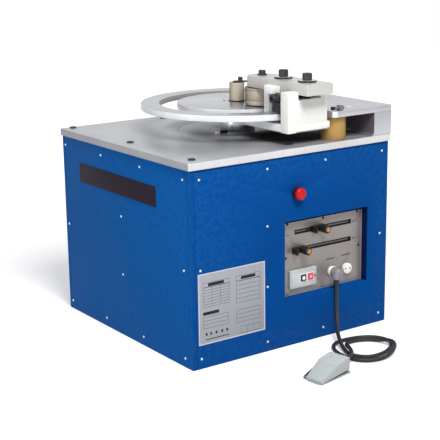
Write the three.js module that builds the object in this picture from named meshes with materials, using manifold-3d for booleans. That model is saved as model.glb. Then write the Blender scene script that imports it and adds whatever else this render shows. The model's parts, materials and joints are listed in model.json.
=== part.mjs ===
// A floor-standing rebar bending machine: a sheet-metal cabinet with a steel table, a fixed ring and
// deck over it, and a powered arm that straddles the ring. A foot pedal lies in front on its cable.
// Millimetres. +X runs along the control side, +Y to the back, +Z up, and the floor is at zero.
import * as THREE from 'three';
import { mergeVertices } from 'three/addons/utils/BufferGeometryUtils.js';
import Module from 'manifold-3d';

const wasm = await Module();
wasm.setup();

// Clearances shared by every piece
const seat = 0.3; // between pieces that rest on or fit in each other
const overrun = 6; // how far a cutting solid passes the face it cuts
const facets = { wide: 72, medium: 36, small: 20, tiny: 10, hexagon: 6, corner: 3, arc: 8, cord: 5 };

// Cabinet and table
const cabinet = { width: 800, depth: 800, height: 632, sheet: 3, post: 16, floor: 6 };
const table = { thick: 23, overhang: 6, corner: 7 };

// Turning axis of the arm, measured from the middle of the cabinet
const axis = { x: 64, y: -4 };

// Ring, disc and deck
const disc = { radius: 205, slot: 62 };
const ring = { width: 62, thick: 20, above: 78 };
const deck = { back: 200, margin: 1, corner: 14, clear: 2 };
const riser = { width: 75, fillet: 14 };
const column = { radius: 41, side: 1.5, inset: 55 };

// Bearing housing, shaft, gear case and motor
const housing = { flange: 203, thick: 23, barrel: 115, depth: 118, foot: 140, footThick: 16 };
const shaft = { radius: 48, hub: 60, hubHeight: 42, neck: 40, foot: 36, inCase: 60 };
const gearCase = { width: 270, depth: 230, height: 165, round: 18 };
const motor = { flange: 80, flangeThick: 14, body: 70, length: 190, cowl: 74, cowlLength: 52 };

// The straddling arm
const arm = { left: 78, right: 92, thick: 25, rim: 4, clear: 13, leg: 31 };
const post = { left: 56, right: 76, side: 22, clear: 3.8, above: 19 };
const cheek = { left: 74, depth: 36, height: 22 };
const bracket = { thick: 38, right: 81, above: 9 };
const barWindow = { left: 51, right: 43, depth: 17 };
const bar = { width: 104, thick: 35, shift: 14, tip: 47, reach: 425.5, chamfer: 3 };
const guide = { left: 76, right: 70, depth: 48, gap: 6, height: 54, chamfer: 5 };
const guideScrew = { head: 12, headLength: 16, washer: 15, washerThick: 8, shank: 6.5, length: 44 };
const guideScrewPlace = { down: 9, in: 30 };
const guideStud = { radius: 4.5, height: 7, left: 6, in: 18 };
const armBolt = { head: 15, headLength: 22, washer: 30, washerThick: 6, shank: 10, grip: 28 };
const rollerBolt = {
  head: 12, headLength: 13, washer: 17, washerThick: 3, shank: 10, foot: 17, footThick: 3,
};
const socketShares = { radius: 0.55, depth: 0.5 };

// Rollers
const bendRoller = { offset: 125, radius: 58, height: 56, clear: 4, groove: 2, grooveUp: 14, grooveHigh: 3 };
const midRoller = { radius: 25.5, height: 62, base: 31, baseThick: 1.5, chamfer: 1.5 };
const midPin = { radius: 16 };
const keeper = {
  thick: 4, width: 22, reach: 50, lip: 16, tail: 13, screwOut: 12, screw: 8, screwHigh: 13, turn: -35,
};

// Stop on the deck, and sensor
const lug = { left: 30.5, width: 12, depth: 16, front: 9, height: 16 };
const stop = { out: 3, head: 7.5, headLength: 7, shank: 5, tip: 6, tipLength: 10, up: 8 };
const sensor = { x: -107.8, y: -47.9, radius: 5, length: 28, turn: -19, nose: 7, noseLength: 15 };

// Plates on the cabinet
const nameplate = { length: 487, height: 66, drop: 80, shift: 35.5, thick: 2 };
const ratingPlate = { inset: 22, width: 256, bottom: 78, height: 229, thick: 1.5 };

// Control recess
const recess = { rightMargin: 87, width: 352, bottomShare: 0.25, height: 260, depth: 28, wall: 2, lip: 10 };
const plate = { thick: 3, clear: 1 };
const slot = { left: 62, length: 239, height: 12.5, upper: 212, lower: 152 };
const rail = { over: 14, foot: 8, thick: 5, height: 20 };
const shoe = { width: 24, side: 0.5, clampWidth: 30, clampHeight: 18, clampThick: 3 };
const carriage = {
  back: 38, ahead: 15, height: 20, thick: 10, tab: 4, tabDepth: 20, stud: 4, studLength: 13,
};
const knob = { radius: 13.5, length: 33, bore: 14, end: 9, endLength: 3, upperAt: 106, lowerAt: 26 };
const switchBox = { left: 37, width: 110, bottom: 24, height: 62, thick: 8, round: 6 };
const button = { size: 22, proud: 3.5, inside: 4, side: 0.5, round: 2, greenAt: 54, redAt: 84 };
const lamp = { radius: 4, proud: 3, at: 103 };
const outlet = {
  flange: 18, proud: 12, barrel: 14.5, barrelLength: 14, firstAt: 219, secondAt: 281, up: 53,
};
const pin = { radius: 2, hole: 2.4, spread: 9.5, depth: 14, holeDepth: 17 };

// Emergency stop
const estop = { left: 47, up: 90, collar: 20, collarThick: 8, cap: 20, capThick: 14, dome: 4, gap: 6 };
const stem = { radius: 8, behind: 14, inCap: 8, around: 3 };

// Plug, strain relief and cable
const plug = { radius: 17, length: 33, round: 4, tailShift: 10, tail: 12, tailBack: 8, tailDrop: 18 };
const relief = { top: 10, bottom: 8, length: 21, lip: 2 };
const cable = { radius: 6.5, steps: 64, samples: 6 };

// Foot pedal, in its own frame: X from nose to heel along the middle of the pedal, Z up
const pedal = { x: -166.4, y: -690.7, turn: 10.95, width: 78, length: 134, wall: 2.5 };
const pedalHeights = { noseBottom: 4.5, noseTop: 13, kink: 43, heel: 52, heelBottom: 14 };
const pedalPlaces = { nose: 2, kink: 78, baseNose: -3, baseHeel: 148 };
const pedalBase = { thick: 3, corner: 14, switchStart: 62, switchEnd: 124, switchWidth: 44, switchTop: 27 };
const pedalHinge = { x: 9, z: 6.8, pin: 2.4, lug: 4.4, lugWidth: 6, lugOut: 28 };
const heelWall = { start: 139.5, thick: 6.5, width: 34, height: 44 };
const gland = {
  z: 31, shank: 8, shankOut: 1.5, nut: 12, nutLength: 7, body: 10.5, bodyLength: 9, mouth: 8.5,
};

// The cable's route along its middle, chosen by hand: down from the plug, two loose loops on the
// floor, then over the first loop to the gland at the pedal's heel
const cableRoute = [
  [170, -410, 171.4], [170, -410, 150], [169.5, -411, 122], [166, -417, 95], [158, -428, 70],
  [145, -445, 49], [129, -466, 34], [113, -491, 25], [97, -519, 18], [83, -549, 11],
  [73, -580, 7], [75, -611, 7], [89, -635, 7], [113, -650, 7], [145, -652, 7],
  [178, -645, 7], [210, -629, 7], [238, -607, 7], [254, -578, 7], [252, -547, 7],
  [236, -519, 7], [207, -499, 7], [173, -488, 7], [138, -484, 7], [105, -489, 7],
  [76, -507, 7], [57, -536, 7], [46, -571, 7], [44, -608, 7], [55, -642, 7],
  [77, -667, 7], [109, -680, 7], [145, -680, 8], [181, -670, 14.5], [211, -650, 21],
  [230, -621, 22], [235, -588, 17], [228, -556, 9], [211, -530, 7], [184, -515, 7],
  [157, -509, 7], [133, -513, 8], [113, -529, 11], [97, -553, 16], [82, -578, 21.5],
  [66, -602, 26], [51, -623, 29.5], [37, -639, 31], [22, -650.5, 31], [6, -657.35, 31],
  [-0.38, -658.58, 31], [-6.76, -659.81, 31],
];

const materials = {
  bluePaint: finish(0x1c4f96, 0.45, 0.1),
  steel: finish(0xa9abae, 0.42, 0.75),
  ringSteel: finish(0xc9cccf, 0.3, 0.8),
  polished: finish(0xc4c6ca, 0.2, 0.9),
  palePaint: finish(0xe4e3dc, 0.5, 0.15),
  armSteel: finish(0xcdccc4, 0.4, 0.6),
  blackSteel: finish(0x3c3b3d, 0.55, 0.5),
  rollerSteel: finish(0xaaa08f, 0.35, 0.75),
  brass: finish(0xb48f4c, 0.3, 0.85),
  castIron: finish(0x53565a, 0.7, 0.5),
  motorPaint: finish(0x5c6468, 0.55, 0.2),
  darkPlate: finish(0x2c2530, 0.5, 0.2),
  platePrint: finish(0xc9cbd0, 0.45, 0.3),
  controlMetal: finish(0x918a88, 0.4, 0.6),
  railMetal: finish(0x9a9a9c, 0.4, 0.7),
  blackPlastic: finish(0x1d1d1f, 0.45, 0),
  rubber: finish(0x2b2a2b, 0.8, 0),
  switchGrey: finish(0xb8bdbd, 0.5, 0),
  green: finish(0x1f6b3a, 0.4, 0),
  red: finish(0xd8222c, 0.35, 0),
  white: finish(0xf0eeea, 0.4, 0),
  plugGrey: finish(0xa9a4ae, 0.5, 0),
  pedalPaint: finish(0xb9c0c0, 0.55, 0.1),
};

function finish(color, roughness, metalness) {
  return new THREE.MeshStandardMaterial({ color, roughness, metalness });
}

// Working heights and places, worked out from the sizes above
const halfWidth = cabinet.width / 2;
const halfDepth = cabinet.depth / 2;
const tableTop = cabinet.height + table.thick;
const ringBottom = tableTop + ring.above;
const ringTop = ringBottom + ring.thick;
const ringInner = disc.radius + disc.slot;
const ringOuter = ringInner + ring.width;
const armBottom = tableTop + shaft.hubHeight;
const armTop = armBottom + arm.thick;
const barBottom = ringTop + bendRoller.clear + bendRoller.height + bendRoller.clear;
const barTop = barBottom + bar.thick;
const bracketInner = axis.y - ringOuter - arm.clear;
const bracketOuter = bracketInner - bracket.thick;
const armLeft = axis.x - arm.left;
const armSide = axis.x + arm.right;
const bracketSide = axis.x + bracket.right;
const barMiddle = axis.x + bar.shift;
const deckLeft = armSide + deck.clear;
const tableRight = halfWidth + table.overhang;
const deckFront = -halfDepth - table.overhang + deck.margin;
const recessRight = halfWidth - recess.rightMargin;
const recessLeft = recessRight - recess.width;
const recessBottom = cabinet.height * recess.bottomShare;
const recessTop = recessBottom + recess.height;
const plateFront = -halfDepth + recess.depth;
const plateBack = plateFront + plate.thick;

// Solids from closed geometries, for cutting and joining
function solid(geometry) {
  const bare = geometry.clone();
  bare.deleteAttribute('normal');
  bare.deleteAttribute('uv');
  const merged = mergeVertices(bare);
  const vertProperties = new Float32Array(merged.attributes.position.array);
  const triVerts = new Uint32Array(merged.index.array);
  return new wasm.Manifold(new wasm.Mesh({ numProp: 3, vertProperties, triVerts }));
}

function surface(manifold) {
  const mesh = manifold.getMesh();
  const geometry = new THREE.BufferGeometry();
  geometry.setAttribute('position', new THREE.BufferAttribute(mesh.vertProperties, mesh.numProp));
  geometry.setIndex(new THREE.BufferAttribute(mesh.triVerts, 1));
  return geometry;
}

function cut(body, ...tools) {
  return surface(tools.reduce((rest, tool) => rest.subtract(solid(tool)), solid(body)));
}

function join(body, ...others) {
  return surface(others.reduce((whole, other) => whole.add(solid(other)), solid(body)));
}

// Basic forms
function block(x0, x1, y0, y1, z0, z1) {
  const geometry = new THREE.BoxGeometry(x1 - x0, y1 - y0, z1 - z0);
  return geometry.translate((x0 + x1) / 2, (y0 + y1) / 2, (z0 + z1) / 2);
}

function upright(radius, x, y, z0, z1, count = facets.medium) {
  const geometry = new THREE.CylinderGeometry(radius, radius, z1 - z0, count);
  return geometry.rotateX(Math.PI / 2).translate(x, y, (z0 + z1) / 2);
}

function slab(outline, z0, z1, curveSegments = facets.corner) {
  const geometry = new THREE.ExtrudeGeometry(outline, {
    depth: z1 - z0,
    bevelEnabled: false,
    curveSegments,
  });
  return geometry.translate(0, 0, z0);
}

// A profile of [radius, height] pairs turned about the vertical
function turned(profile, count = facets.medium) {
  const points = profile.map(([radius, height]) => new THREE.Vector2(radius, height));
  return new THREE.LatheGeometry(points, count).rotateX(Math.PI / 2);
}

// Turns what is drawn facing up so that it faces the front, with its drawn Y upright
function facingFront(geometry, x, y, z) {
  return geometry.rotateX(Math.PI / 2).translate(x, y, z);
}

// A flat piece drawn in X and Z, between two depths
function panel(outline, yFront, yBack) {
  return facingFront(slab(outline, 0, yBack - yFront), 0, yBack, 0);
}

function rectangle(x0, x1, y0, y1, radius = 0) {
  const outline = new THREE.Shape();
  if (radius === 0) {
    outline.moveTo(x0, y0).lineTo(x1, y0).lineTo(x1, y1).lineTo(x0, y1).closePath();
    return outline;
  }
  outline.absarc(x1 - radius, y0 + radius, radius, -Math.PI / 2, 0);
  outline.absarc(x1 - radius, y1 - radius, radius, 0, Math.PI / 2);
  outline.absarc(x0 + radius, y1 - radius, radius, Math.PI / 2, Math.PI);
  outline.absarc(x0 + radius, y0 + radius, radius, Math.PI, Math.PI * 1.5);
  outline.closePath();
  return outline;
}

function polygon(points) {
  return new THREE.Shape(points.map(([x, y]) => new THREE.Vector2(x, y)));
}

function hexagon(radius, z0, z1) {
  return upright(radius, 0, 0, z0, z1, facets.hexagon);
}

const machine = new THREE.Group();

function add(name, geometry, material, parent = machine) {
  const mesh = new THREE.Mesh(geometry, material);
  mesh.name = name;
  parent.add(mesh);
  return mesh;
}

// Cabinet: floor plate, corner posts and four sheet panels
function addCabinet() {
  const inX = halfWidth - cabinet.sheet - seat;
  const inY = halfDepth - cabinet.sheet - seat;
  const postX = halfWidth - cabinet.post - seat;
  const postY = halfDepth - cabinet.post - seat;
  const floorOutline = polygon([
    [-postX, -inY], [postX, -inY], [postX, -postY], [inX, -postY], [inX, postY], [postX, postY],
    [postX, inY], [-postX, inY], [-postX, postY], [-inX, postY], [-inX, -postY], [-postX, -postY],
  ]);
  add('base_plate', slab(floorOutline, 0, cabinet.floor), materials.bluePaint);
  const top = cabinet.height - seat;
  for (const [side, sideName] of [[-1, 'left'], [1, 'right']]) {
    for (const [end, endName] of [[-1, 'front'], [1, 'rear']]) {
      const x = side * (halfWidth - cabinet.post / 2);
      const y = end * (halfDepth - cabinet.post / 2);
      const cornerPost = new THREE.BoxGeometry(cabinet.post, cabinet.post, top).translate(x, y, top / 2);
      add(`corner_post_${endName}_${sideName}`, cornerPost, materials.bluePaint);
    }
  }
  const front = rectangle(-postX, postX, 0, top);
  front.holes.push(rectangle(recessLeft, recessRight, recessBottom, recessTop));
  const inside = -halfDepth + cabinet.sheet;
  const stemHole = upright(stem.radius + stem.around, 0, 0, -overrun, cabinet.sheet + overrun, facets.small);
  facingFront(stemHole, recessLeft + estop.left, inside, recessTop + estop.up);
  add('front_panel', cut(panel(front, -halfDepth, inside), stemHole), materials.bluePaint);
  const back = rectangle(-postX, postX, 0, top);
  add('rear_panel', panel(back, halfDepth - cabinet.sheet, halfDepth), materials.bluePaint);
  const leftIn = -halfWidth + cabinet.sheet;
  const rightIn = halfWidth - cabinet.sheet;
  add('left_panel', block(-halfWidth, leftIn, -postY, postY, 0, top), materials.bluePaint);
  add('right_panel', block(rightIn, halfWidth, -postY, postY, 0, top), materials.bluePaint);
}

// Table plate with the round seat of the bearing housing
function addTable() {
  const edgeX = halfWidth + table.overhang;
  const edgeY = halfDepth + table.overhang;
  const blank = slab(rectangle(-edgeX, edgeX, -edgeY, edgeY, table.corner), cabinet.height, tableTop);
  const seatRadius = housing.flange + seat;
  const opening = upright(
    seatRadius, axis.x, axis.y, cabinet.height - overrun, tableTop + overrun, facets.wide,
  );
  add('table_plate', cut(blank, opening), materials.steel);
}

// Bearing housing: flush flange in the table, barrel below it and a foot for the gear case
function addBearingHousing() {
  const bore = shaft.radius + seat;
  const barrelEnd = -housing.thick - housing.depth;
  const profile = [
    [bore, barrelEnd - housing.footThick],
    [housing.foot, barrelEnd - housing.footThick],
    [housing.foot, barrelEnd],
    [housing.barrel, barrelEnd],
    [housing.barrel, -housing.thick],
    [housing.flange, -housing.thick],
    [housing.flange, 0],
    [bore, 0],
    [bore, barrelEnd - housing.footThick],
  ];
  const geometry = turned(profile, facets.wide).translate(axis.x, axis.y, tableTop);
  add('bearing_housing', geometry, materials.steel);
}

// Gear case and its motor, hung under the bearing housing
function addDrive() {
  const top = tableTop - housing.thick - housing.depth - housing.footThick - seat;
  const bottom = top - gearCase.height;
  const left = axis.x - gearCase.width / 2;
  const outline = rectangle(
    left, left + gearCase.width, axis.y - gearCase.depth / 2, axis.y + gearCase.depth / 2, gearCase.round,
  );
  const bore = upright(shaft.foot + seat, axis.x, axis.y, top - shaft.inCase - seat, top + overrun);
  add('gear_case', cut(slab(outline, bottom, top), bore), materials.castIron);
  const end = motor.flangeThick + motor.length + motor.cowlLength;
  const bodyEnd = motor.flangeThick + motor.length;
  const profile = [
    [0, 0], [motor.flange, 0], [motor.flange, motor.flangeThick], [motor.body, motor.flangeThick],
    [motor.body, bodyEnd], [motor.cowl, bodyEnd], [motor.cowl, end], [0, end],
  ];
  const body = turned(profile, facets.small).rotateY(-Math.PI / 2);
  body.translate(left - seat, axis.y, (top + bottom) / 2);
  add('motor', body, materials.motorPaint);
}

// Fixed ring and raised deck in one plate, the riser that carries it and the brass column
function addRing() {
  const circle = upright(ringOuter, axis.x, axis.y, ringBottom, ringTop, facets.wide);
  const deckOutline = new THREE.Shape();
  deckOutline.absarc(
    deckLeft + deck.corner, deckFront + deck.corner, deck.corner, Math.PI, Math.PI * 1.5,
  );
  deckOutline.lineTo(tableRight, deckFront);
  deckOutline.lineTo(tableRight, deck.back);
  deckOutline.lineTo(deckLeft, deck.back);
  deckOutline.closePath();
  const hole = upright(ringInner, axis.x, axis.y, ringBottom - overrun, ringTop + overrun, facets.wide);
  const whole = join(circle, slab(deckOutline, ringBottom, ringTop));
  add('ring_plate', cut(whole, hole), materials.ringSteel);
  const inner = tableRight - riser.width;
  const low = tableTop + seat;
  const high = ringBottom - seat;
  const section = new THREE.Shape();
  section.moveTo(tableRight, low);
  section.lineTo(tableRight, high);
  section.lineTo(inner, high);
  section.lineTo(inner, low + riser.fillet);
  section.absarc(inner - riser.fillet, low + riser.fillet, riser.fillet, 0, -Math.PI / 2, true);
  section.closePath();
  add('riser_block', panel(section, deckFront, deck.back), materials.ringSteel);
  const x = deckLeft + column.side + column.radius;
  const y = deckFront + column.inset;
  add('support_column', upright(column.radius, x, y, low, high), materials.brass);
}

// The shaft with its hub, and the disc on top of it
function addShaft() {
  const barrelEnd = -housing.thick - housing.depth - housing.footThick - seat;
  const neckTop = ring.above - seat;
  const profile = [
    [0, barrelEnd - shaft.inCase],
    [shaft.foot, barrelEnd - shaft.inCase],
    [shaft.foot, barrelEnd],
    [shaft.radius, barrelEnd],
    [shaft.radius, seat],
    [shaft.hub, seat],
    [shaft.hub, shaft.hubHeight - seat],
    [shaft.neck, shaft.hubHeight - seat],
    [shaft.neck, neckTop],
    [0, neckTop],
  ];
  add('main_shaft', turned(profile).translate(axis.x, axis.y, tableTop), materials.polished);
  const plateau = upright(disc.radius, axis.x, axis.y, ringBottom, ringTop, facets.wide);
  add('turn_disc', plateau, materials.ringSteel);
}

// Lower arm: a thick plate from the shaft out under the ring, with a bevelled lower rim
function addLowerArm() {
  const half = (arm.left + arm.right) / 2;
  const length = axis.y - bracketOuter;
  const outline = (inset) => {
    const shape = new THREE.Shape();
    shape.moveTo(-half + inset, -length + inset);
    shape.lineTo(half - inset, -length + inset);
    shape.lineTo(half - inset, 0);
    shape.absarc(0, 0, half - inset, 0, Math.PI);
    shape.closePath();
    return shape;
  };
  const upper = slab(outline(0), armBottom + arm.rim, armTop, facets.arc);
  const lower = slab(outline(arm.rim), armBottom, armBottom + arm.rim * 2, facets.arc);
  const whole = join(upper, lower).translate(armSide - half, axis.y, 0);
  const bore = upright(shaft.neck + seat, axis.x, axis.y, armBottom - overrun, armTop + overrun);
  const legCut = block(
    armLeft - overrun, armLeft + arm.leg + seat,
    bracketOuter - overrun, bracketInner + seat, armBottom - overrun, armTop + overrun,
  );
  add('lower_arm', cut(whole, bore, legCut), materials.armSteel);
}

// Inner post, standing in the slot between disc and ring, and outer bracket beyond the ring
function addUprights() {
  const barSide = bar.width / 2 + seat;
  const notch = (left, right, y0, y1, bottom) => block(
    barMiddle - left, barMiddle + right, y0 - overrun, y1 + overrun, bottom, barTop + overrun,
  );
  const nearFace = axis.y - disc.radius - post.side;
  const reach = ringInner - post.clear;
  const widest = Math.max(post.left, post.right);
  const farFace = axis.y - Math.sqrt(reach * reach - widest * widest);
  const postTop = barBottom + post.above;
  const postBlank = block(
    axis.x - post.left, axis.x + post.right, farFace, nearFace, armTop + seat, postTop,
  );
  const cheekBlank = block(
    axis.x - cheek.left, barMiddle - barSide, farFace - cheek.depth, farFace + seat,
    postTop - cheek.height, postTop,
  );
  const postMid = (farFace + nearFace) / 2;
  const postHole = upright(
    armBolt.shank + seat, barMiddle, postMid, barBottom - armBolt.grip - seat, postTop,
  );
  const postNotch = notch(barSide, barSide, farFace, nearFace, barBottom - seat);
  add('inner_post', cut(join(postBlank, cheekBlank), postNotch, postHole), materials.armSteel);

  const bracketTop = barBottom + bracket.above;
  const bracketBlank = block(
    armLeft, bracketSide, bracketOuter, bracketInner, armTop + seat, bracketTop,
  );
  const leg = block(
    armLeft, armLeft + arm.leg, bracketOuter, bracketInner, armBottom, armTop + overrun,
  );
  const bracketMid = (bracketOuter + bracketInner) / 2;
  const windowBottom = barBottom - barWindow.depth;
  const bracketHole = upright(
    armBolt.shank + seat, barMiddle, bracketMid, windowBottom - armBolt.grip - seat, bracketTop,
  );
  const bracketNotch = notch(barSide, barSide, bracketOuter, bracketInner, barBottom - seat);
  const opening = notch(barWindow.left, barWindow.right, bracketOuter, bracketInner, windowBottom);
  const bracketBody = cut(join(bracketBlank, leg), bracketNotch, opening, bracketHole);
  add('outer_bracket', bracketBody, materials.palePaint);
  return { postMid, bracketMid };
}

// Upper arm: a straight bar with one round end, seated in the notches of post and bracket
function addUpperArm(bolts) {
  const half = bar.width / 2;
  const outline = (inset) => {
    const shape = new THREE.Shape();
    shape.moveTo(-half + inset, -bar.reach + inset);
    shape.lineTo(half - inset, -bar.reach + inset);
    shape.lineTo(half - inset, -bendRoller.offset);
    shape.absellipse(0, -bendRoller.offset, half - inset, bar.tip - inset, 0, Math.PI);
    shape.closePath();
    return shape;
  };
  const main = slab(outline(0), barBottom, barTop - bar.chamfer, facets.arc);
  const crown = slab(outline(bar.chamfer / 2), barTop - bar.chamfer * 2, barTop, facets.arc);
  const through = (y, radius) => upright(
    radius + seat, barMiddle, y, barBottom - overrun, barTop + overrun,
  );
  const geometry = cut(
    join(main, crown).translate(barMiddle, axis.y, 0),
    through(axis.y - bendRoller.offset, rollerBolt.shank),
    through(bolts.postMid, armBolt.shank),
    through(bolts.bracketMid, armBolt.shank),
  );
  add('upper_arm', geometry, materials.armSteel);
}

// A socket-head screw with its washer, head up, with the underside of the washer at zero
function screw(size, length) {
  const headTop = size.washerThick + size.headLength;
  const body = turned([
    [0, -length], [size.shank, -length], [size.shank, 0], [size.washer, 0],
    [size.washer, size.washerThick], [size.head, size.washerThick], [size.head, headTop], [0, headTop],
  ], facets.small);
  const key = hexagon(size.head * socketShares.radius, headTop - size.headLength * socketShares.depth,
    headTop + overrun);
  return cut(body, key);
}

function addArmBolts(bolts) {
  const top = barTop + seat;
  const inner = screw(armBolt, bar.thick + armBolt.grip);
  add('arm_bolt_inner', inner.translate(barMiddle, bolts.postMid, top), materials.blackSteel);
  const outer = screw(armBolt, bar.thick + barWindow.depth + armBolt.grip);
  add('arm_bolt_outer', outer.translate(barMiddle, bolts.bracketMid, top), materials.blackSteel);
}

// Guide block over the ring, on the inside of the bracket, with a large screw in its side and the
// head of a small one on its top
function addGuide() {
  const left = axis.x - guide.left;
  const right = axis.x + guide.right;
  const near = bracketInner + guide.depth;
  const low = ringTop + guide.gap;
  const high = low + guide.height;
  const section = polygon([
    [bracketInner + seat, low], [near, low], [near, high - guide.chamfer],
    [near - guide.chamfer, high], [bracketInner + seat, high],
  ]);
  const blank = slab(section, 0, right - left).rotateY(Math.PI / 2).rotateX(Math.PI / 2);
  blank.translate(left, 0, 0);
  const y = near - guideScrewPlace.in;
  const z = high - guideScrewPlace.down;
  const shank = upright(guideScrew.shank + seat, 0, 0, -guideScrew.length, overrun, facets.small);
  const hole = shank.rotateY(-Math.PI / 2).translate(left, y, z);
  const stud = upright(
    guideStud.radius, left + guideStud.left, near - guideStud.in, high - overrun,
    high + guideStud.height, facets.small,
  );
  add('guide_block', join(cut(blank, hole), stud), materials.blackSteel);
  const bolt = screw(guideScrew, guideScrew.length - seat).rotateY(-Math.PI / 2);
  add('guide_screw', bolt.translate(left - seat, y, z), materials.blackSteel);
}

// Bending roller under the bar's round end, on its own bolt
function addBendRoller() {
  const y = axis.y - bendRoller.offset;
  const bottom = ringTop + bendRoller.clear;
  const bore = rollerBolt.shank + seat;
  const grooveFoot = bendRoller.grooveUp;
  const profile = [
    [bore, 0],
    [bendRoller.radius, 0],
    [bendRoller.radius, grooveFoot],
    [bendRoller.radius - bendRoller.groove, grooveFoot],
    [bendRoller.radius - bendRoller.groove, grooveFoot + bendRoller.grooveHigh],
    [bendRoller.radius, grooveFoot + bendRoller.grooveHigh],
    [bendRoller.radius, bendRoller.height],
    [bore, bendRoller.height],
    [bore, 0],
  ];
  add('bending_roller', turned(profile).translate(barMiddle, y, bottom), materials.rollerSteel);
  const footTop = -bar.thick - bendRoller.clear - bendRoller.height - seat * 2;
  const footBottom = footTop - rollerBolt.footThick;
  const bolt = screw(rollerBolt, -footTop);
  const foot = upright(rollerBolt.foot, 0, 0, footBottom, footTop + seat / 2, facets.small);
  add('roller_bolt', join(bolt, foot).translate(barMiddle, y, barTop + seat), materials.blackSteel);
}

// Centre roller on its pin, held down by a keeper plate with a lip and a small screw
function addCentreRoller() {
  const pinTop = midRoller.baseThick + midRoller.height + seat * 2;
  const pinProfile = [
    [0, 0], [midRoller.base, 0], [midRoller.base, midRoller.baseThick], [midPin.radius, midRoller.baseThick],
    [midPin.radius, pinTop], [0, pinTop],
  ];
  const pinBody = turned(pinProfile, facets.small).translate(axis.x, axis.y, ringTop + seat);
  add('centre_pin', pinBody, materials.blackSteel);
  const bore = midPin.radius + seat;
  const rim = midRoller.radius - midRoller.chamfer;
  const profile = [
    [bore, 0], [rim, 0], [midRoller.radius, midRoller.chamfer],
    [midRoller.radius, midRoller.height - midRoller.chamfer], [rim, midRoller.height],
    [bore, midRoller.height], [bore, 0],
  ];
  const rollerBottom = ringTop + seat + midRoller.baseThick + seat;
  add('centre_roller', turned(profile).translate(axis.x, axis.y, rollerBottom), materials.rollerSteel);
  const half = keeper.width / 2;
  const plateSection = polygon([
    [-keeper.tail, 0], [keeper.reach - keeper.thick, 0], [keeper.reach - keeper.thick, -keeper.lip],
    [keeper.reach, -keeper.lip], [keeper.reach, keeper.thick], [-keeper.tail, keeper.thick],
  ]);
  const strip = slab(plateSection, 0, keeper.width).rotateX(Math.PI / 2).translate(0, half, 0);
  const head = upright(keeper.screw, keeper.screwOut, 0, keeper.thick / 2, keeper.thick + keeper.screwHigh,
    facets.small);
  const whole = join(strip, head).rotateZ(THREE.MathUtils.degToRad(keeper.turn));
  const keeperBottom = ringTop + seat + pinTop + seat;
  add('keeper_plate', whole.translate(axis.x, axis.y, keeperBottom), materials.blackSteel);
}

// Stop on the deck: a lug that holds a rubber-tipped bolt, beside the bracket
function addStop() {
  const left = deckLeft + lug.left;
  const right = left + lug.width;
  const front = deckFront + lug.front;
  const low = ringTop + seat;
  const y = front + lug.depth / 2;
  const z = low + stop.up;
  const body = block(left, right, front, front + lug.depth, low, low + lug.height);
  const hole = upright(stop.shank + seat, 0, 0, -overrun, lug.width + overrun, facets.small);
  const bore = hole.rotateY(Math.PI / 2).translate(left, y, z);
  add('stop_lug', cut(body, bore), materials.blackSteel);
  const tipFace = deckLeft + stop.out;
  const reach = right + seat - tipFace;
  const headEnd = reach + stop.headLength;
  const shape = turned([
    [0, 0], [stop.tip, 0], [stop.tip, stop.tipLength], [stop.shank, stop.tipLength],
    [stop.shank, reach], [0, reach],
  ], facets.small);
  const bolt = join(shape, hexagon(stop.head, reach - seat / 2, headEnd)).rotateY(Math.PI / 2);
  add('stop_bolt', bolt.translate(tipFace, y, z), materials.blackSteel);
}

// Home sensor: a short barrel with a wider nose, lying on the table and pointing away from the hub
function addSensor() {
  const body = turned([
    [0, -sensor.noseLength], [sensor.nose, -sensor.noseLength], [sensor.nose, 0], [sensor.radius, 0],
    [sensor.radius, sensor.length], [0, sensor.length],
  ], facets.small);
  body.rotateY(Math.PI / 2).rotateZ(THREE.MathUtils.degToRad(sensor.turn));
  const z = tableTop + sensor.nose + seat;
  add('home_sensor', body.translate(axis.x + sensor.x, axis.y + sensor.y, z), materials.blackPlastic);
}

// Bare plates on the left and front panels
function addPlates() {
  const face = -halfWidth - seat;
  const top = cabinet.height - nameplate.drop;
  const y0 = nameplate.shift - nameplate.length / 2;
  const strip = block(
    face - nameplate.thick, face, y0, y0 + nameplate.length, top - nameplate.height, top,
  );
  add('nameplate', strip, materials.darkPlate);
  const left = -halfWidth + ratingPlate.inset;
  const outline = rectangle(
    left, left + ratingPlate.width, ratingPlate.bottom, ratingPlate.bottom + ratingPlate.height,
  );
  const front = -halfDepth - seat;
  add('rating_plate', panel(outline, front - ratingPlate.thick, front), materials.platePrint);
}

// Control recess: the liner behind the panel's opening and the plate that it holds
function addRecess() {
  const out = recess.wall;
  const linerBack = plateBack + seat + recess.wall;
  const outer = block(
    recessLeft - out, recessRight + out, -halfDepth + cabinet.sheet + seat, linerBack,
    recessBottom - out, recessTop + out,
  );
  const room = block(
    recessLeft, recessRight, -halfDepth - overrun, plateBack + seat, recessBottom, recessTop,
  );
  const window = block(
    recessLeft + recess.lip, recessRight - recess.lip, -halfDepth, linerBack + overrun,
    recessBottom + recess.lip, recessTop - recess.lip,
  );
  add('recess_liner', cut(outer, room, window), materials.bluePaint);
  const edge = plate.clear;
  const outline = rectangle(recessLeft + edge, recessRight - edge, recessBottom + edge, recessTop - edge);
  const slots = [slot.upper, slot.lower].map((up) => {
    const left = recessLeft + slot.left;
    const low = recessBottom + up - slot.height / 2;
    const opening = rectangle(left, left + slot.length, low, low + slot.height);
    return panel(opening, plateFront - overrun, plateBack + overrun);
  });
  const holes = [outlet.firstAt, outlet.secondAt].map((at) => {
    const hole = upright(outlet.barrel + seat, 0, 0, -overrun, plate.thick + overrun, facets.small);
    return facingFront(hole, recessLeft + at, plateBack, recessBottom + outlet.up);
  });
  const controlPlate = cut(panel(outline, plateFront, plateBack), ...slots, ...holes);
  add('control_plate', controlPlate, materials.controlMetal);
}

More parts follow.
